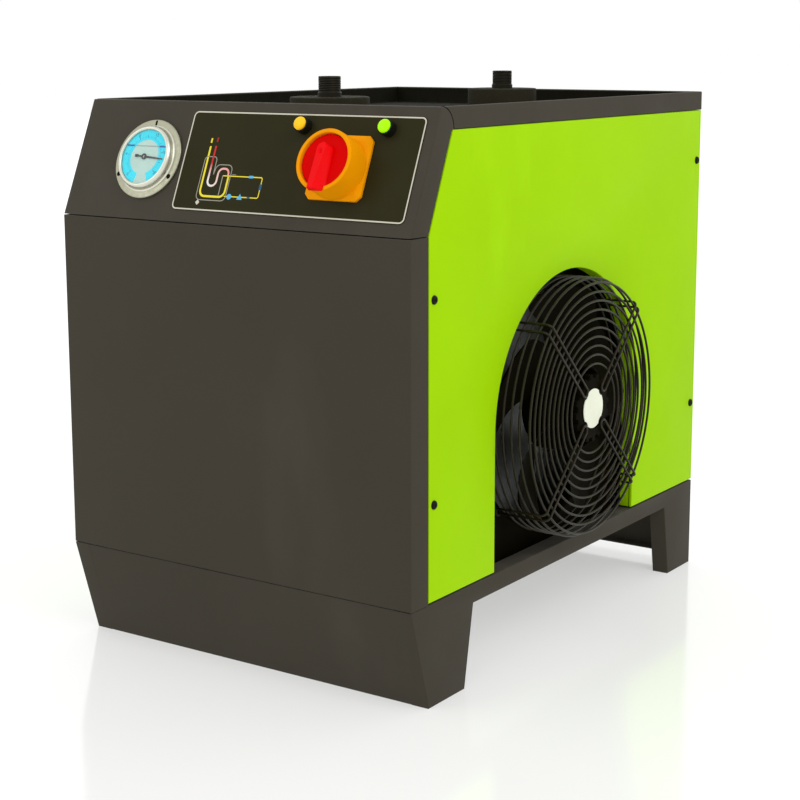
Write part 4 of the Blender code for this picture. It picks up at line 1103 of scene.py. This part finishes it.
def rotor():
    """Rotor cup open to the front, with a rolled lip and a rounded shoulder."""
    low, high = width_of("fan_rotor")
    radius = (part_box("fan_rotor")[1].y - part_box("fan_rotor")[0].y) / 2
    wall = 0.003
    lip = arc(wall / 2, (radius - wall / 2, high - wall / 2), 180, 0, 6)
    shoulder = arc(0.006, (radius - 0.006, low + 0.006), 0, -90, 6)
    profile = [(0, low + 0.005), (radius - wall, low + 0.005)]
    profile += lip.tolist() + shoulder.tolist() + [(0, low)]
    piece("rotor_cup", [turned(profile, 72)], on_fan(), "fan_black", body="fan", crisp=40,
          stands_for=["fan_rotor"])


BLADES = 5
BLADE_TIP = 0.127
HUB_RADIUS = 0.046


def blade(turn_degrees, face):
    """A swept blade: going out, the chord's angle widens and sweeps on while it lies flatter; across
    the chord the height falls evenly plus a shallow camber, and the thickness is a thin ellipse."""
    outward = np.linspace(0, 1, 17)[:, None]
    chord = np.linspace(-0.5, 0.5, 21)[None]
    radius = HUB_RADIUS + 0.002 + (BLADE_TIP - HUB_RADIUS - 0.002) * outward
    span = np.radians(46 + 8 * outward)
    tip_round = 1 - 0.16 * np.clip((outward - 0.8) / 0.2, 0, 1) ** 2
    angle = np.radians(20) * outward ** 1.5 + span * chord * tip_round
    height = face - 0.028 - (0.030 - 0.008 * outward) * chord - 0.004 * (1 - 4 * chord ** 2)
    thick = 0.0004 + 0.0009 * np.sqrt(np.clip(1 - (2 * chord) ** 2, 0, 1))
    skins = [cylindrical(radius, angle, height + side * thick) for side in (1, -1)]
    section = np.concatenate([skins[0], skins[1][:, ::-1]], axis=1)
    return spun(grid(section, close=True, caps=True), turn_degrees)


def impeller():
    """Five swept sheet blades riveted to a hub band."""
    face = width_of("fan_rotor")[1]
    band = [(HUB_RADIUS + 0.0002, face - 0.010), (HUB_RADIUS + 0.0026, face - 0.010)]
    band += [(HUB_RADIUS + 0.003, face - 0.0105), (HUB_RADIUS + 0.003, face - 0.0455)]
    band += [(HUB_RADIUS + 0.0026, face - 0.046), (HUB_RADIUS + 0.0002, face - 0.046)]
    shapes = [turned(band, 72, closed=True)]
    rivet = [(0, 0.0035), (0.0018, 0.0028), (0.0026, 0.0010), (0.0026, -0.001), (0, -0.001)]
    points, faces = turned(rivet, 12)
    for number in range(BLADES):
        shapes.append(blade(360 * number / BLADES, face))
        for place in (-0.30, 0.0, 0.30):
            a = math.radians(360 * number / BLADES + 46 * place)
            out = Vector((math.cos(a), math.sin(a), 0))
            spot = axes((0, 0, 1), out.cross(Vector((0, 0, 1))), out, out * (HUB_RADIUS + 0.002))
            matrix = np.array(spot)
            lift = np.array((0, 0, face - 0.028 - 0.030 * place + 0.004))
            shapes.append((points @ matrix[:3, :3].T + matrix[:3, 3] + lift, faces))
    piece("impeller", shapes, on_fan(), "fan_black", body="fan", crisp=40, stands_for=["fan_impeller"])


def shroud():
    """Shroud plate whose hole turns back in a smooth bell mouth; a second profile carried round the
    fan axis makes the mouth, and the plate is a square outline cut by the hole."""
    low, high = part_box("fan_shroud")
    face = high.x - ORIGIN.x
    edge = rectangle(low.y - ORIGIN.y, low.z, high.y - ORIGIN.y, high.z)
    radius = 0.132
    # The dark-painted shroud plate takes the darker fan finish: painted shade behind the guard.
    plate = piece("shroud_plate", [slab(edge, face - 0.0016, face, edge=0.0004)], right_side(),
                  "fan_black", slot="dark_paint", stands_for=["fan_shroud"])
    hole = slab(circle(radius + 0.004, 96, (FAN.y, FAN.z)), 0, HALF)
    cut(plate, [hole], right_side(), "fan_black")
    curl = arc(0.0055, (radius + 0.0055, face - 0.0055), 90, 180, 6)
    back = arc(0.0043, (radius + 0.0055, face - 0.0055), 180, 90, 6)
    tail = [(radius, face - 0.0137), (radius + 0.0012, face - 0.0137)]
    mouth = turned(curl.tolist() + tail + back.tolist(), 128, closed=True)
    # The bell mouth also takes the darker fan finish: painted shade.
    piece("shroud_mouth", [mouth], on_fan(), "fan_black", slot="dark_paint")


def condenser():
    """Finned condenser: a stack of thin fins, end plates and a row of return bends."""
    low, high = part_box("condenser_coil")
    low = low - ORIGIN
    high = high - ORIGIN
    shapes = []
    count = 150
    end_gap = 0.002
    fin = 0.0004
    margin = 0.001
    pitch = (high.y - low.y - 2 * end_gap) / count
    section = rectangle(low.x + margin, low.z + margin, high.x - margin, high.z - margin)
    for k in range(count):
        place = low.y + end_gap + pitch * (k + 0.35)
        shapes.append(slab(section, -place - fin, -place))
    piece("condenser_fins", shapes, front(), "aluminium_fins", stands_for=["condenser_coil"])
    sheet = 0.0012
    outline = rectangle(low.x, low.z, high.x, high.z)
    ends = [slab(outline, -y - sheet, -y) for y in (low.y, high.y - sheet)]
    piece("condenser_ends", ends, front(), "galvanised")
    bends = []
    tube_pitch = 0.030
    for k in range(9):
        middle = low.z + tube_pitch + tube_pitch * k
        route = arc(0.010, (0, 0), -90, 90, 10)
        centre = np.full(len(route), (low.x + high.x) / 2)
        loop = np.stack([centre, low.y - route[:, 0], middle + route[:, 1]], -1)
        bends.append(rod(loop, 0.0045, 10, up=(1, 0, 0)))
    piece("condenser_bends", bends, upright(), "copper")


# ---------------------------------------------------------------- sloped panel
def on_slope(joint):
    """Place of a joint's axis on the sloped panel: (u, v) from mid width and the crease."""
    place = Vector(JOINTS[joint]["pos_m"]) - ORIGIN - Vector((0, 0, CREASE))
    return place.x, place.dot(SLOPE_UP)


GAUGE = on_slope("gauge_reading")
SWITCH = on_slope("switch_turn")
LAMP_V = SWITCH[1] + 0.042
OVERLAY_LEFT, OVERLAY_RIGHT = width_of("control_overlay")
OVERLAY_BOTTOM = (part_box("control_overlay")[0].z - CREASE) / SLOPE_UP.z
OVERLAY_TOP = (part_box("control_overlay")[1].z - CREASE) / SLOPE_UP.z
FILM_TOP = 0.0008
INK = 0.00008


def overlay():
    """Overlay film with round corners and its pale border line."""
    outline = rounded(rectangle(OVERLAY_LEFT, OVERLAY_BOTTOM, OVERLAY_RIGHT, OVERLAY_TOP), 0.006)
    film = slab(outline, 0.0002, FILM_TOP, edge=0.0002)
    piece("overlay_film", [film], slope(), "overlay_film", stands_for=["control_overlay"])
    rings = inset(outline, [0.0005, 0.0019, 0.0019, 0.0005])
    heights = [FILM_TOP - INK, FILM_TOP - INK, FILM_TOP + INK, FILM_TOP + INK]
    border = grid(lifted(rings, heights), wrap=True, close=True)
    piece("overlay_border", [border], slope(), "print_white")


def line_print(corners, bend, width):
    """A printed line through corners in millimetres on the sloped panel, rounded by a bend."""
    route = smooth_route([np.array(corner, float) / 1000 for corner in corners], bend / 1000, 8)
    return ribbon(route, width / 1000, FILM_TOP - INK, FILM_TOP + INK)


def dot_print(outline, centre):
    """A printed spot: an outline in millimetres about a centre."""
    return slab((np.asarray(outline) + np.array(centre)) / 1000, FILM_TOP - INK, FILM_TOP + 1.6 * INK)


def hairpin():
    """The diagram's bent line whose print fades from end to end: each point of the mesh keeps its
    share of the way along the route."""
    corners = [(-35.4, 82.0), (-35.5, 40.2), (-24.2, 40.2), (-24.2, 58.6), (-11.4, 58.6), (-11.0, 52.0)]
    route = smooth_route([np.array(corner) / 1000 for corner in corners], 0.0055, 8)
    shape = ribbon(route, 0.0021, FILM_TOP, FILM_TOP + 1.5 * INK)
    line = piece("diagram_hairpin", [shape], slope(), "hairpin_print")
    points = np.zeros(len(line.data.vertices) * 3)
    line.data.vertices.foreach_get("co", points)
    place = np.array(slope())
    flat = points.reshape(-1, 3) @ place[:3, :2] - place[:3, 3] @ place[:3, :2]
    lengths = np.concatenate([[0], np.cumsum(np.linalg.norm(np.diff(route, axis=0), axis=1))])
    nearest = np.argmin(np.linalg.norm(flat[:, None] - route[None], axis=2), axis=1)
    along = line.data.attributes.new("along", "FLOAT", "POINT")
    along.data.foreach_set("value", (lengths[nearest] / lengths[-1]).astype(np.float32))


def flow_diagram():
    """Flow diagram without lettering: yellow and red air lines, yellow circuit and its symbols."""
    yellow = [
        line_print([(-42.8, 90.0), (-42.8, 85.0)], 1, 2.0),
        line_print([(-42.4, 81.5), (-42.0, 29.2), (-10.2, 29.2), (-10.2, 50.5)], 6.5, 2.2),
        line_print([(-17.0, 51.3), (32.8, 51.3), (32.8, 30.2), (-10.0, 30.2)], 2.0, 1.1),
    ]
    piece("diagram_yellow", yellow, slope(), "print_yellow")
    case = [(-30.0, 52.0), (-28.2, 62.6), (-7.8, 62.6), (-7.8, 25.2), (-45.6, 25.2), (-45.6, 45.0)]
    pale = [
        line_print([(-17.0, 51.3), (-17.6, 51.3), (-17.4, 30.0)], 0.4, 1.0),
        line_print([(-6.0, 53.0), (-1.0, 53.0)], 1, 0.5),
        line_print([(-45.6, 45.0), (-45.6, 70.6), (-30.2, 70.6), (-30.2, 52.0)], 3.8, 0.9),
        line_print(case, 5.5, 0.9),
    ]
    piece("diagram_grey", pale, slope(), "print_grey")
    hairpin()
    piece("diagram_red", [line_print([(-35.3, 91.0), (-35.3, 86.2)], 1, 2.0)], slope(), "print_red")
    blue = [
        dot_print(circle(2.9, 32), (-3.4, 30.0)),
        dot_print([(-3.4, -2.6), (3.4, -2.6), (0, 3.4)], (10.0, 30.2)),
        dot_print(stadium(-3.2, -1.3, 6.4, 2.6), (18.5, 51.4)),
    ]
    piece("diagram_blue", blue, slope(), "print_blue")
    navy = [
        dot_print(rectangle(-1.5, -3.0, 1.5, 3.0), (32.8, 41.5)),
        dot_print(stadium(-2.0, -0.9, 4.0, 1.8), (21.0, 30.2)),
    ]
    piece("diagram_navy", navy, slope(), "print_navy")
    diamond = dot_print([(0, -2.9), (2.6, 0), (0, 2.9), (-2.6, 0)], (-41.9, 22.4))
    piece("diagram_diamond", [diamond], slope(), "print_white")


# ---------------------------------------------------------------- gauge
GAUGE_START = 229
GAUGE_END = -41


def gauge_case():
    """Panel gauge case: flange with a rolled rim, a raised bezel with a convex shoulder, and the
    can behind; then one slot and two round holes cut in the flange, each with a dark plug at its bottom as
    painted shade."""
    seat = 0.0052
    front_face = 0.0112
    inner = 0.0292
    rim_radius = 0.0425
    bezel = arc(np.array((0.0036, 0.0070)), (inner + 0.0014, front_face - 0.0070), 90, 0, 10)
    rim = arc(0.0012, (rim_radius - 0.0012, 0.0018), 90, 0, 5)
    shoulder = [(inner, 0.0024), (inner, front_face - 0.0012), (inner + 0.0008, front_face - 0.0002)]
    shoulder += bezel.tolist()
    shoulder += [(inner + 0.0056, 0.0034), (inner + 0.0064, 0.0031), (inner + 0.0064, 0.0024)]
    profile = [(0, seat), (inner - 0.0001, seat), (inner - 0.0001, 0.0030)]
    profile += rim.tolist()
    profile += [(rim_radius, 0.0003), (0.0297, 0.0003), (0.0297, -0.030), (0.0280, -0.0325), (0, -0.0325)]
    place = slope(*GAUGE)
    case = piece("gauge_case_turned", [turned(profile, 128)], place, "stainless", stands_for=["gauge_case"])
    piece("gauge_bezel", [turned(shoulder, 128, closed=True)], place, "bezel_steel", slot="stainless")
    edges = []
    for angle in (208, 332):
        a = math.radians(angle)
        edges.append(circle(0.0026, 24, (0.0384 * math.cos(a), 0.0382 * math.sin(a))))
    upright_slot = [(y, -x) for x, y in stadium(-0.0029, -0.0014, 0.0058, 0.0028)]
    edges.append(np.array(upright_slot) + (0, 0.0385))
    cut(case, [slab(edge, 0.0006, 0.02) for edge in edges], place, "stainless")
    # Dark plugs in the holes: painted shade at their bottoms.
    plugs = [slab(edge, 0.0007, 0.0022) for edge in edges]
    piece("gauge_hole_shade", plugs, place, "lining", slot="stainless")


def sector(inner, outer, start, end, low, high, steps=90):
    """A flat ring sector between two radii and two angles, run anticlockwise."""
    edge = np.concatenate([arc(outer, (0, 0), start, end, steps), arc(inner, (0, 0), end, start, steps)])
    return slab(edge, low, high)


def lettering(text, size, centre, low, high):
    """Plain numerals as a thin plate, centred on a point."""
    curve = bpy.data.curves.new("numeral", "FONT")
    curve.body = text
    curve.size = size
    curve.align_x = "CENTER"
    curve.align_y = "CENTER"
    curve.extrude = (high - low) / 2
    curve.resolution_u = 3
    holder = linked("numeral", curve)
    evaluated = holder.evaluated_get(bpy.context.evaluated_depsgraph_get())
    data = bpy.data.meshes.new_from_object(evaluated)
    points = np.zeros(len(data.vertices) * 3)
    data.vertices.foreach_get("co", points)
    faces = [list(face.vertices) for face in data.polygons]
    bpy.data.objects.remove(holder)
    offset = np.array((*centre, (low + high) / 2))
    return points.reshape(-1, 3) + offset, faces


def dial_angle(step, steps):
    """Angle of a mark, in degrees, so many steps of the scale from its start."""
    return GAUGE_START + (GAUGE_END - GAUGE_START) * step / steps


def gauge_dial():
    """Pale dial with a cyan scale band, ticks, plain numerals and the fill line of its liquid."""
    place = slope(*GAUGE)
    face = 0.0080
    piece("gauge_face", [slab(circle(0.0290, 96), 0.0054, face)], place, "dial_print",
          stands_for=["gauge_dial"])
    band = sector(0.0184, 0.0288, GAUGE_END - 27, GAUGE_START + 27, face - INK, face + INK)
    piece("gauge_band", [band], place, "dial_cyan")
    tick_foot = 0.0205
    marks = []
    for k in range(51):
        long = k % 5 == 0
        reach = 0.0032 if long else 0.0018
        width = 0.00045 if long else 0.00025
        tick = rectangle(tick_foot, -width / 2, tick_foot + reach, width / 2)
        marks.append(spun(slab(tick, face, face + 2 * INK), dial_angle(k, 50)))
    for k in range(6):
        angle = math.radians(dial_angle(k, 5))
        centre = (0.0256 * math.cos(angle), 0.0256 * math.sin(angle))
        marks.append(lettering(str(4 * k), 0.0046, centre, face, face + 2 * INK))
    piece("gauge_marks", marks, place, "dial_teal")
    fine_tick = slab(rectangle(0.0186, -0.0002, 0.0196, 0.0002), face, face + INK)
    scale = [spun(fine_tick, dial_angle(k, 30)) for k in range(31)]
    piece("gauge_inner_scale", scale, place, "print_grey")
    level = 0.0116
    reach = math.sqrt(0.0286 ** 2 - level ** 2)
    inner_reach = math.sqrt(tick_foot ** 2 - level ** 2)
    ends = ((-reach, -inner_reach), (inner_reach, reach))
    edges = [rectangle(left, level - 0.0009, right, level + 0.0009) for left, right in ends]
    piece("gauge_level_line", [slab(edge, face, face + 3 * INK) for edge in edges], place, "dial_blue")
    faint = rectangle(-inner_reach, level - 0.0003, inner_reach, level + 0.0003)
    piece("gauge_level_faint", [slab(faint, face, face + 3 * INK)], place, "print_grey")


def needle():
    """Needle with a tapered pointer, a paddle tail and a pierced hub ring, resting near 3 o'clock."""
    place = slope(*GAUGE, 0.0084) @ Matrix.Rotation(math.radians(-4), 4, "Z")
    pointer = [(0.0024, -0.0010), (0.0250, -0.0006), (0.0256, 0), (0.0250, 0.0006), (0.0024, 0.0010)]
    paddle = [(-0.0024, 0.0008), (-0.0080, 0.0008), (-0.0086, 0.0015), (-0.0120, 0.0015), (-0.0124, 0.0010)]
    tail = paddle + [(x, -y) for x, y in reversed(paddle)]
    hub = [(0.0019, 0.0011), (0.0029, 0.0011), (0.0031, 0.0009), (0.0031, 0), (0.0019, 0)]
    shapes = [slab(pointer, 0, 0.0006), slab(tail, 0, 0.0006), turned(hub, 32, closed=True)]
    piece("gauge_pointer", shapes, place, "needle_black", body="needle", stands_for=["gauge_needle"])
    pin = turned([(0, 0.0013), (0.0008, 0.0012), (0.0011, 0.0009), (0.0011, -0.0006), (0, -0.0006)], 24)
    piece("gauge_pin", [pin], place, "stainless", body="needle")


def gauge_window():
    """Clear window, very slightly crowned."""
    radius = 0.0289
    rings = np.linspace(0, 1, 7)
    crown = [(radius * r, 0.0103 + 0.0003 * (1 - r * r)) for r in rings]
    profile = crown + [(radius, 0.0099), (0, 0.0099)]
    piece("gauge_glass", [turned(profile, 96)], slope(*GAUGE), "window_glass",
          stands_for=["gauge_window"])


# ---------------------------------------------------------------- switch and lamps
PLATE_LOW = 0.0011
PLATE_HIGH = 0.0062
HANDLE_RADIUS = 0.0265


def switch_plate():
    """Square switch plate: chamfered corners and a bevel all round, mechanism block behind."""
    half = 0.0325
    chamfer = 0.005
    corner = half - chamfer
    offset = (-0.0005, 0.0014)
    corners = [(half, -corner), (half, corner), (corner, half), (-corner, half)]
    edge = np.array(corners + [(-x, -y) for x, y in corners]) + offset
    profile = [
        (0.0003, PLATE_LOW),
        (0, PLATE_LOW + 0.0003),
        (0, PLATE_LOW + 0.0028),
        (0.0004, PLATE_LOW + 0.0032),
        (0.0048, PLATE_HIGH - 0.0002),
        (0.0052, PLATE_HIGH),
    ]
    back = PLATE_LOW + 0.001
    block = turned([(0, back), (0.0215, back), (0.0215, -0.044), (0.020, -0.045), (0, -0.045)], 48)
    piece("switch_square", [carried(edge, profile), block], slope(*SWITCH), "switch_yellow",
          stands_for=["switch_plate"])


def switch_collar():
    """Round collar: a slight draft outside, soft lips, and a floor the handle turns on."""
    outer = 0.03125
    inner = 0.0270
    face = 0.031
    floor = 0.0197
    lip = 0.0008
    foot = PLATE_HIGH + 0.0003
    profile = [(inner, face - lip)] + arc(lip, (inner + lip, face - lip), 180, 90, 4).tolist()
    profile += arc(lip, (outer - 0.0004 - lip, face - lip), 90, 0, 4).tolist()
    profile += [(outer, PLATE_HIGH + 0.0012), (outer + 0.0002, foot), (0.010, foot)]
    profile += [(0.010, floor), (inner, floor)]
    piece("switch_ring", [turned(profile, 128, closed=True)], slope(*SWITCH), "switch_yellow",
          stands_for=["switch_collar"])


def handle_bar():
    """Grip bar whose flat crest narrows from its round end, with a dimple, to a square tip over the
    collar's lower edge, while its sloping flanks widen towards the tip."""
    along = np.linspace(0, 1, 33)[:, None]
    across = np.linspace(-1, 1, 29)[None]
    top_end = 0.0155
    low_end = -0.0312
    v = top_end + (low_end - top_end) * along
    foot_half = 0.0064 + 0.0016 * along
    crest_half = 0.0050 - 0.0022 * along
    crest_mid = -0.0010 - 0.0040 * along
    flat_share = 0.5
    flank = np.clip((1 - np.abs(across)) / (1 - flat_share), 0, 1)
    side = np.sign(across)
    on_flank = side * foot_half * (1 - flank) + (crest_mid + side * crest_half) * flank
    on_crest = crest_mid + crest_half * across / flat_share
    nose_length = 0.0058
    nose = np.sqrt(np.clip(1 - np.clip((nose_length - (top_end - v)) / nose_length, 0, 1) ** 2, 0.0, 1))
    u = np.where(np.abs(across) > flat_share, on_flank, on_crest) * nose
    front_end = np.clip((v - low_end) / 0.0014, 0, 1)
    rise = flank ** 0.8 * front_end ** 0.5
    dimple = 0.0020 * np.exp(-(((u - crest_mid) / 0.0021) ** 2 + ((v - 0.0065) / 0.0021) ** 2) ** 2)
    crown = 0.0362 - 0.0002 * across ** 2
    over = np.clip((-v - (HANDLE_RADIUS - 0.0012)) / 0.0012, 0, 1)
    low = 0.0270 * (1 - over) + 0.0314 * over + 0 * across
    top = low + (crown - low) * (0.12 + 0.88 * rise) - dimple
    upper = np.stack([u, v + 0 * across, top], -1)
    lower = np.stack([u, v + 0 * across, low], -1)
    return grid(np.concatenate([upper, lower[:, ::-1]], axis=1), close=True, caps=True)


def handle():
    """Red handle: a dished disc with a rolled lip, and its grip bar."""
    radius = HANDLE_RADIUS
    face = 0.0280
    floor = 0.0202
    foot = PLATE_HIGH + 0.0008
    lip = arc(0.0012, (radius - 0.0012, face - 0.0012), 90, 0, 5)
    disc = [(0, face - 0.0008), (0.010, face - 0.0007), (radius - 0.004, face - 0.0002)]
    disc += lip.tolist()
    disc += [(radius, floor), (0.0080, floor), (0.0080, foot), (0, foot)]
    piece("switch_disc", [turned(disc, 128)], slope(*SWITCH), "switch_red", body="handle",
          stands_for=["switch_handle"])
    # The grip bar takes a lighter copy of the handle's red: painted highlight.
    piece("switch_bar", [handle_bar()], slope(*SWITCH), "bar_red_painted_highlight", body="handle", slot="switch_red")


def lamp(tone):
    """Signal lamp: black housing with a knurled bezel, and a coloured lens with a domed face."""
    low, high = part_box(f"lamp_lens_{tone}")
    place = slope((low.x + high.x) / 2 - ORIGIN.x, LAMP_V)
    housing = [(0, 0.0090), (0.0066, 0.0090), (0.0068, 0.0102), (0.0074, 0.0104), (0.0080, 0.0098),
               (0.0080, 0.0030), (0.0078, 0.0011), (0.0058, 0.0011), (0.0058, -0.0088), (0, -0.0088)]
    knurled = ribbed(turned(housing, 96), count=32, depth=0.012, beyond=0.0079)
    piece(f"lamp_{tone}_housing", [knurled], place, "black_plastic", stands_for=[f"lamp_housing_{tone}"])
    share = np.linspace(0, 1, 9)
    dome = [(0.0067 * math.sin(a), 0.0112 + 0.0030 * math.cos(a)) for a in share * math.pi / 2]
    profile = dome + [(0.0068, 0.0106), (0.0065, 0.0104), (0.0065, 0.0094), (0, 0.0094)]
    piece(f"lamp_{tone}_lens", [turned(profile, 64)], place, f"{tone}_lens",
          stands_for=[f"lamp_lens_{tone}"])


# ---------------------------------------------------------------- top ports and rear fittings
def threaded(radius, low, high, pitch, depth, bore, floor, steps=64):
    """A pipe end with an outside thread: the radius swings as a rounded saw with height plus turn,
    fading at both ends; bored down to a floor."""
    turn = np.linspace(0, 2 * np.pi, steps, endpoint=False)[None]
    heights = np.linspace(high, low, int((high - low) / pitch * 8))[:, None]
    phase = 2 * np.pi * heights / pitch + turn
    fade = np.clip((high - heights) / pitch, 0, 1) * np.clip((heights - low) / pitch, 0, 1)
    lead_in = 0.0006 * (1 - np.clip((high - heights) / 0.001, 0, 1))
    radii = radius - depth * fade * (0.5 + 0.5 * np.cos(phase)) - lead_in
    inside = np.array([(0, floor), (bore, floor), (bore, high - 0.0008), (bore + 0.0006, high)])
    parts = [
        cylindrical(inside[:, :1], turn, inside[:, 1:]),
        cylindrical(radii, turn, heights),
        cylindrical(0, turn, low),
    ]
    return grid(np.concatenate(parts), close=True)


def air_ports():
    """Two threaded pipe ends, each in a sleeve, standing in a round rubber collar."""
    pipe_bore = 0.0104
    collar_bore = 0.0128
    for end in ("front", "rear"):
        low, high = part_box(f"air_port_{end}")
        centre = (low + high) / 2 - ORIGIN
        place = upright(centre.x, centre.y, 0)
        outer = (high.x - low.x) / 2
        top = TOP + 0.008
        pipe = threaded(0.0118, top - 0.002, high.z, pitch=0.0018, depth=0.0004, bore=0.0082,
                        floor=TOP - 0.030)
        sleeve = [
            (pipe_bore, top - 0.0006),
            (pipe_bore + 0.0004, top),
            (outer - 0.0008, top),
            (outer, top - 0.0008),
            (outer, low.z),
            (pipe_bore, low.z),
        ]
        shapes = [pipe, turned(sleeve, 64, closed=True)]
        piece(f"port_{end}", shapes, place, "port_steel", stands_for=[f"air_port_{end}"])
        low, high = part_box(f"port_collar_{end}")
        outer = (high.x - low.x) / 2
        top = high.z
        profile = [(collar_bore, top - 0.0006), (collar_bore + 0.0006, top)]
        profile += [(0.020, top), (0.0206, top - 0.0008), (0.0214, top - 0.0008), (0.022, top)]
        profile += arc(0.0016, (outer - 0.0016, top - 0.0016), 90, 0, 5).tolist()
        profile += [(outer, low.z + 0.003), (outer - 0.002, low.z + 0.002), (outer - 0.002, low.z)]
        profile += [(collar_bore, low.z)]
        piece(f"collar_{end}", [turned(profile, 96, closed=True)], place, "rubber",
              stands_for=[f"port_collar_{end}"])


def gland():
    """Cable gland with a hexagon and a ribbed dome nut."""
    centre = centre_of("cable_gland")
    hexagon = rounded(circle(0.0125, 6), 0.001, 4)
    nut = [
        (0.0052, 0.0160),
        (0.0060, 0.0178),
        (0.0072, 0.0178),
        (0.0096, 0.0150),
        (0.0108, 0.0110),
        (0.0108, 0.0062),
        (0.0082, 0.0062),
        (0.0082, -0.0118),
        (0.0052, -0.0118),
    ]
    shapes = [
        slab(hexagon, 0.0003, 0.0066, edge=0.0006),
        ribbed(turned(nut, 96, closed=True), count=24, depth=0.05, beyond=0.0090),
        turned([(0, 0.0150), (0.0053, 0.0150), (0.0053, -0.0118), (0, -0.0118)], 32),
    ]
    piece("gland", shapes, rear(centre.x, DEPTH, centre.z), "black_plastic", stands_for=["cable_gland"])


def drain():
    """Drain outlet: a hexagon and a hose barb of three teeth."""
    centre = centre_of("drain_outlet")
    hexagon = rounded(circle(0.0100, 6), 0.0006, 4)
    barb = [
        (0.0030, 0.0180),
        (0.0042, 0.0180),
        (0.0050, 0.0155),
        (0.0044, 0.0153),
        (0.0052, 0.0128),
        (0.0045, 0.0126),
        (0.0053, 0.0100),
        (0.0053, 0.0078),
        (0.0060, 0.0078),
        (0.0060, 0.0004),
        (0.0060, -0.0198),
        (0.0030, -0.0198),
    ]
    shapes = [
        turned(barb, 48, closed=True),
        slab(hexagon, 0.0003, 0.0074, edge=0.0005),
        turned([(0, 0.004), (0.0031, 0.004), (0.0031, -0.0198), (0, -0.0198)], 24),
    ]
    piece("drain_barb", shapes, rear(centre.x, DEPTH, centre.z), "brass", stands_for=["drain_outlet"])


# ---------------------------------------------------------------- surroundings
def glossy_floor():
    """Wide pale floor with a soft reflection and an even glow."""
    points, faces = slab(circle(14.0, 96), -0.02, 0.0)
    data = bpy.data.meshes.new("floor")
    data.from_pydata(points.tolist(), [], faces)
    floor = linked("floor", data)
    finish = Finish("floor_finish", (0.50, 0.50, 0.49), 0.12, specular=0.5)
    finish.paint(finish.tinted(0.004, 0.5))
    finish.glow((1.0, 1.0, 0.99), 0.45)
    finish.rough(finish.noise(2.0, low=0.10, high=0.14))
    data.materials.append(finish.material)


def surround():
    """Even white light from all round."""
    world = bpy.data.worlds.new("surround")
    bpy.context.scene.world = world
    world.use_nodes = True
    background = world.node_tree.nodes["Background"]
    background.inputs["Color"].default_value = (1.0, 1.0, 1.0, 1.0)
    background.inputs["Strength"].default_value = 1.0


def soft_light(name, place, size, power):
    """A large round lamp aimed at the middle of the cabinet."""
    data = bpy.data.lights.new(name, "AREA")
    data.shape = "DISK"
    data.size = size
    data.energy = power
    holder = linked(name, data)
    holder.location = place
    toward = Vector((0, 0, 0.3)) - Vector(place)
    holder.rotation_euler = toward.to_track_quat("-Z", "Y").to_euler()


def camera():
    """Long lens from the front right and a little above, its frame shifted down."""
    data = bpy.data.cameras.new("camera")
    data.lens = 78.44
    data.sensor_width = 36
    data.shift_y = -0.0625
    data.clip_start = 0.05
    data.clip_end = 60
    holder = linked("camera", data)
    azimuth = math.radians(34.3194)
    elevation = math.radians(10.0629)
    level = math.cos(elevation)
    back = Vector((math.sin(azimuth) * level, -math.cos(azimuth) * level, math.sin(elevation)))
    right = Vector((math.cos(azimuth), math.sin(azimuth), 0))
    roll = Matrix.Rotation(math.radians(-0.1119), 4, back)
    place = ORIGIN + Vector((1.10361, -1.31208, 0.63998))
    holder.matrix_world = Matrix.Translation(place) @ roll @ axes(right, back.cross(right), back)
    bpy.context.scene.camera = holder


def studio():
    """Floor, surround, two soft lights and the camera."""
    glossy_floor()
    surround()
    soft_light("key_light", (2.4, -0.6, 2.6), size=1.8, power=26)
    soft_light("fill_light", (-1.8, -3.0, 2.0), size=2.0, power=14)
    camera()
    bpy.context.scene.view_settings.view_transform = "Standard"


def main():
    """Dress the solids, build every visible piece, then the studio."""
    dress_solids()
    front_cover()
    control_cover()
    top_tray()
    right_panel()
    left_panel()
    back_panel()
    base_side("base_right", 1, "base_side_right")
    base_side("base_left", -1, "base_side_left")
    skirts()
    screws()
    guard()
    motor()
    label()
    rotor()
    impeller()
    shroud()
    condenser()
    overlay()
    flow_diagram()
    gauge_case()
    gauge_dial()
    needle()
    gauge_window()
    switch_plate()
    switch_collar()
    handle()
    lamp("amber")
    lamp("green")
    air_ports()
    gland()
    drain()
    studio()


main()
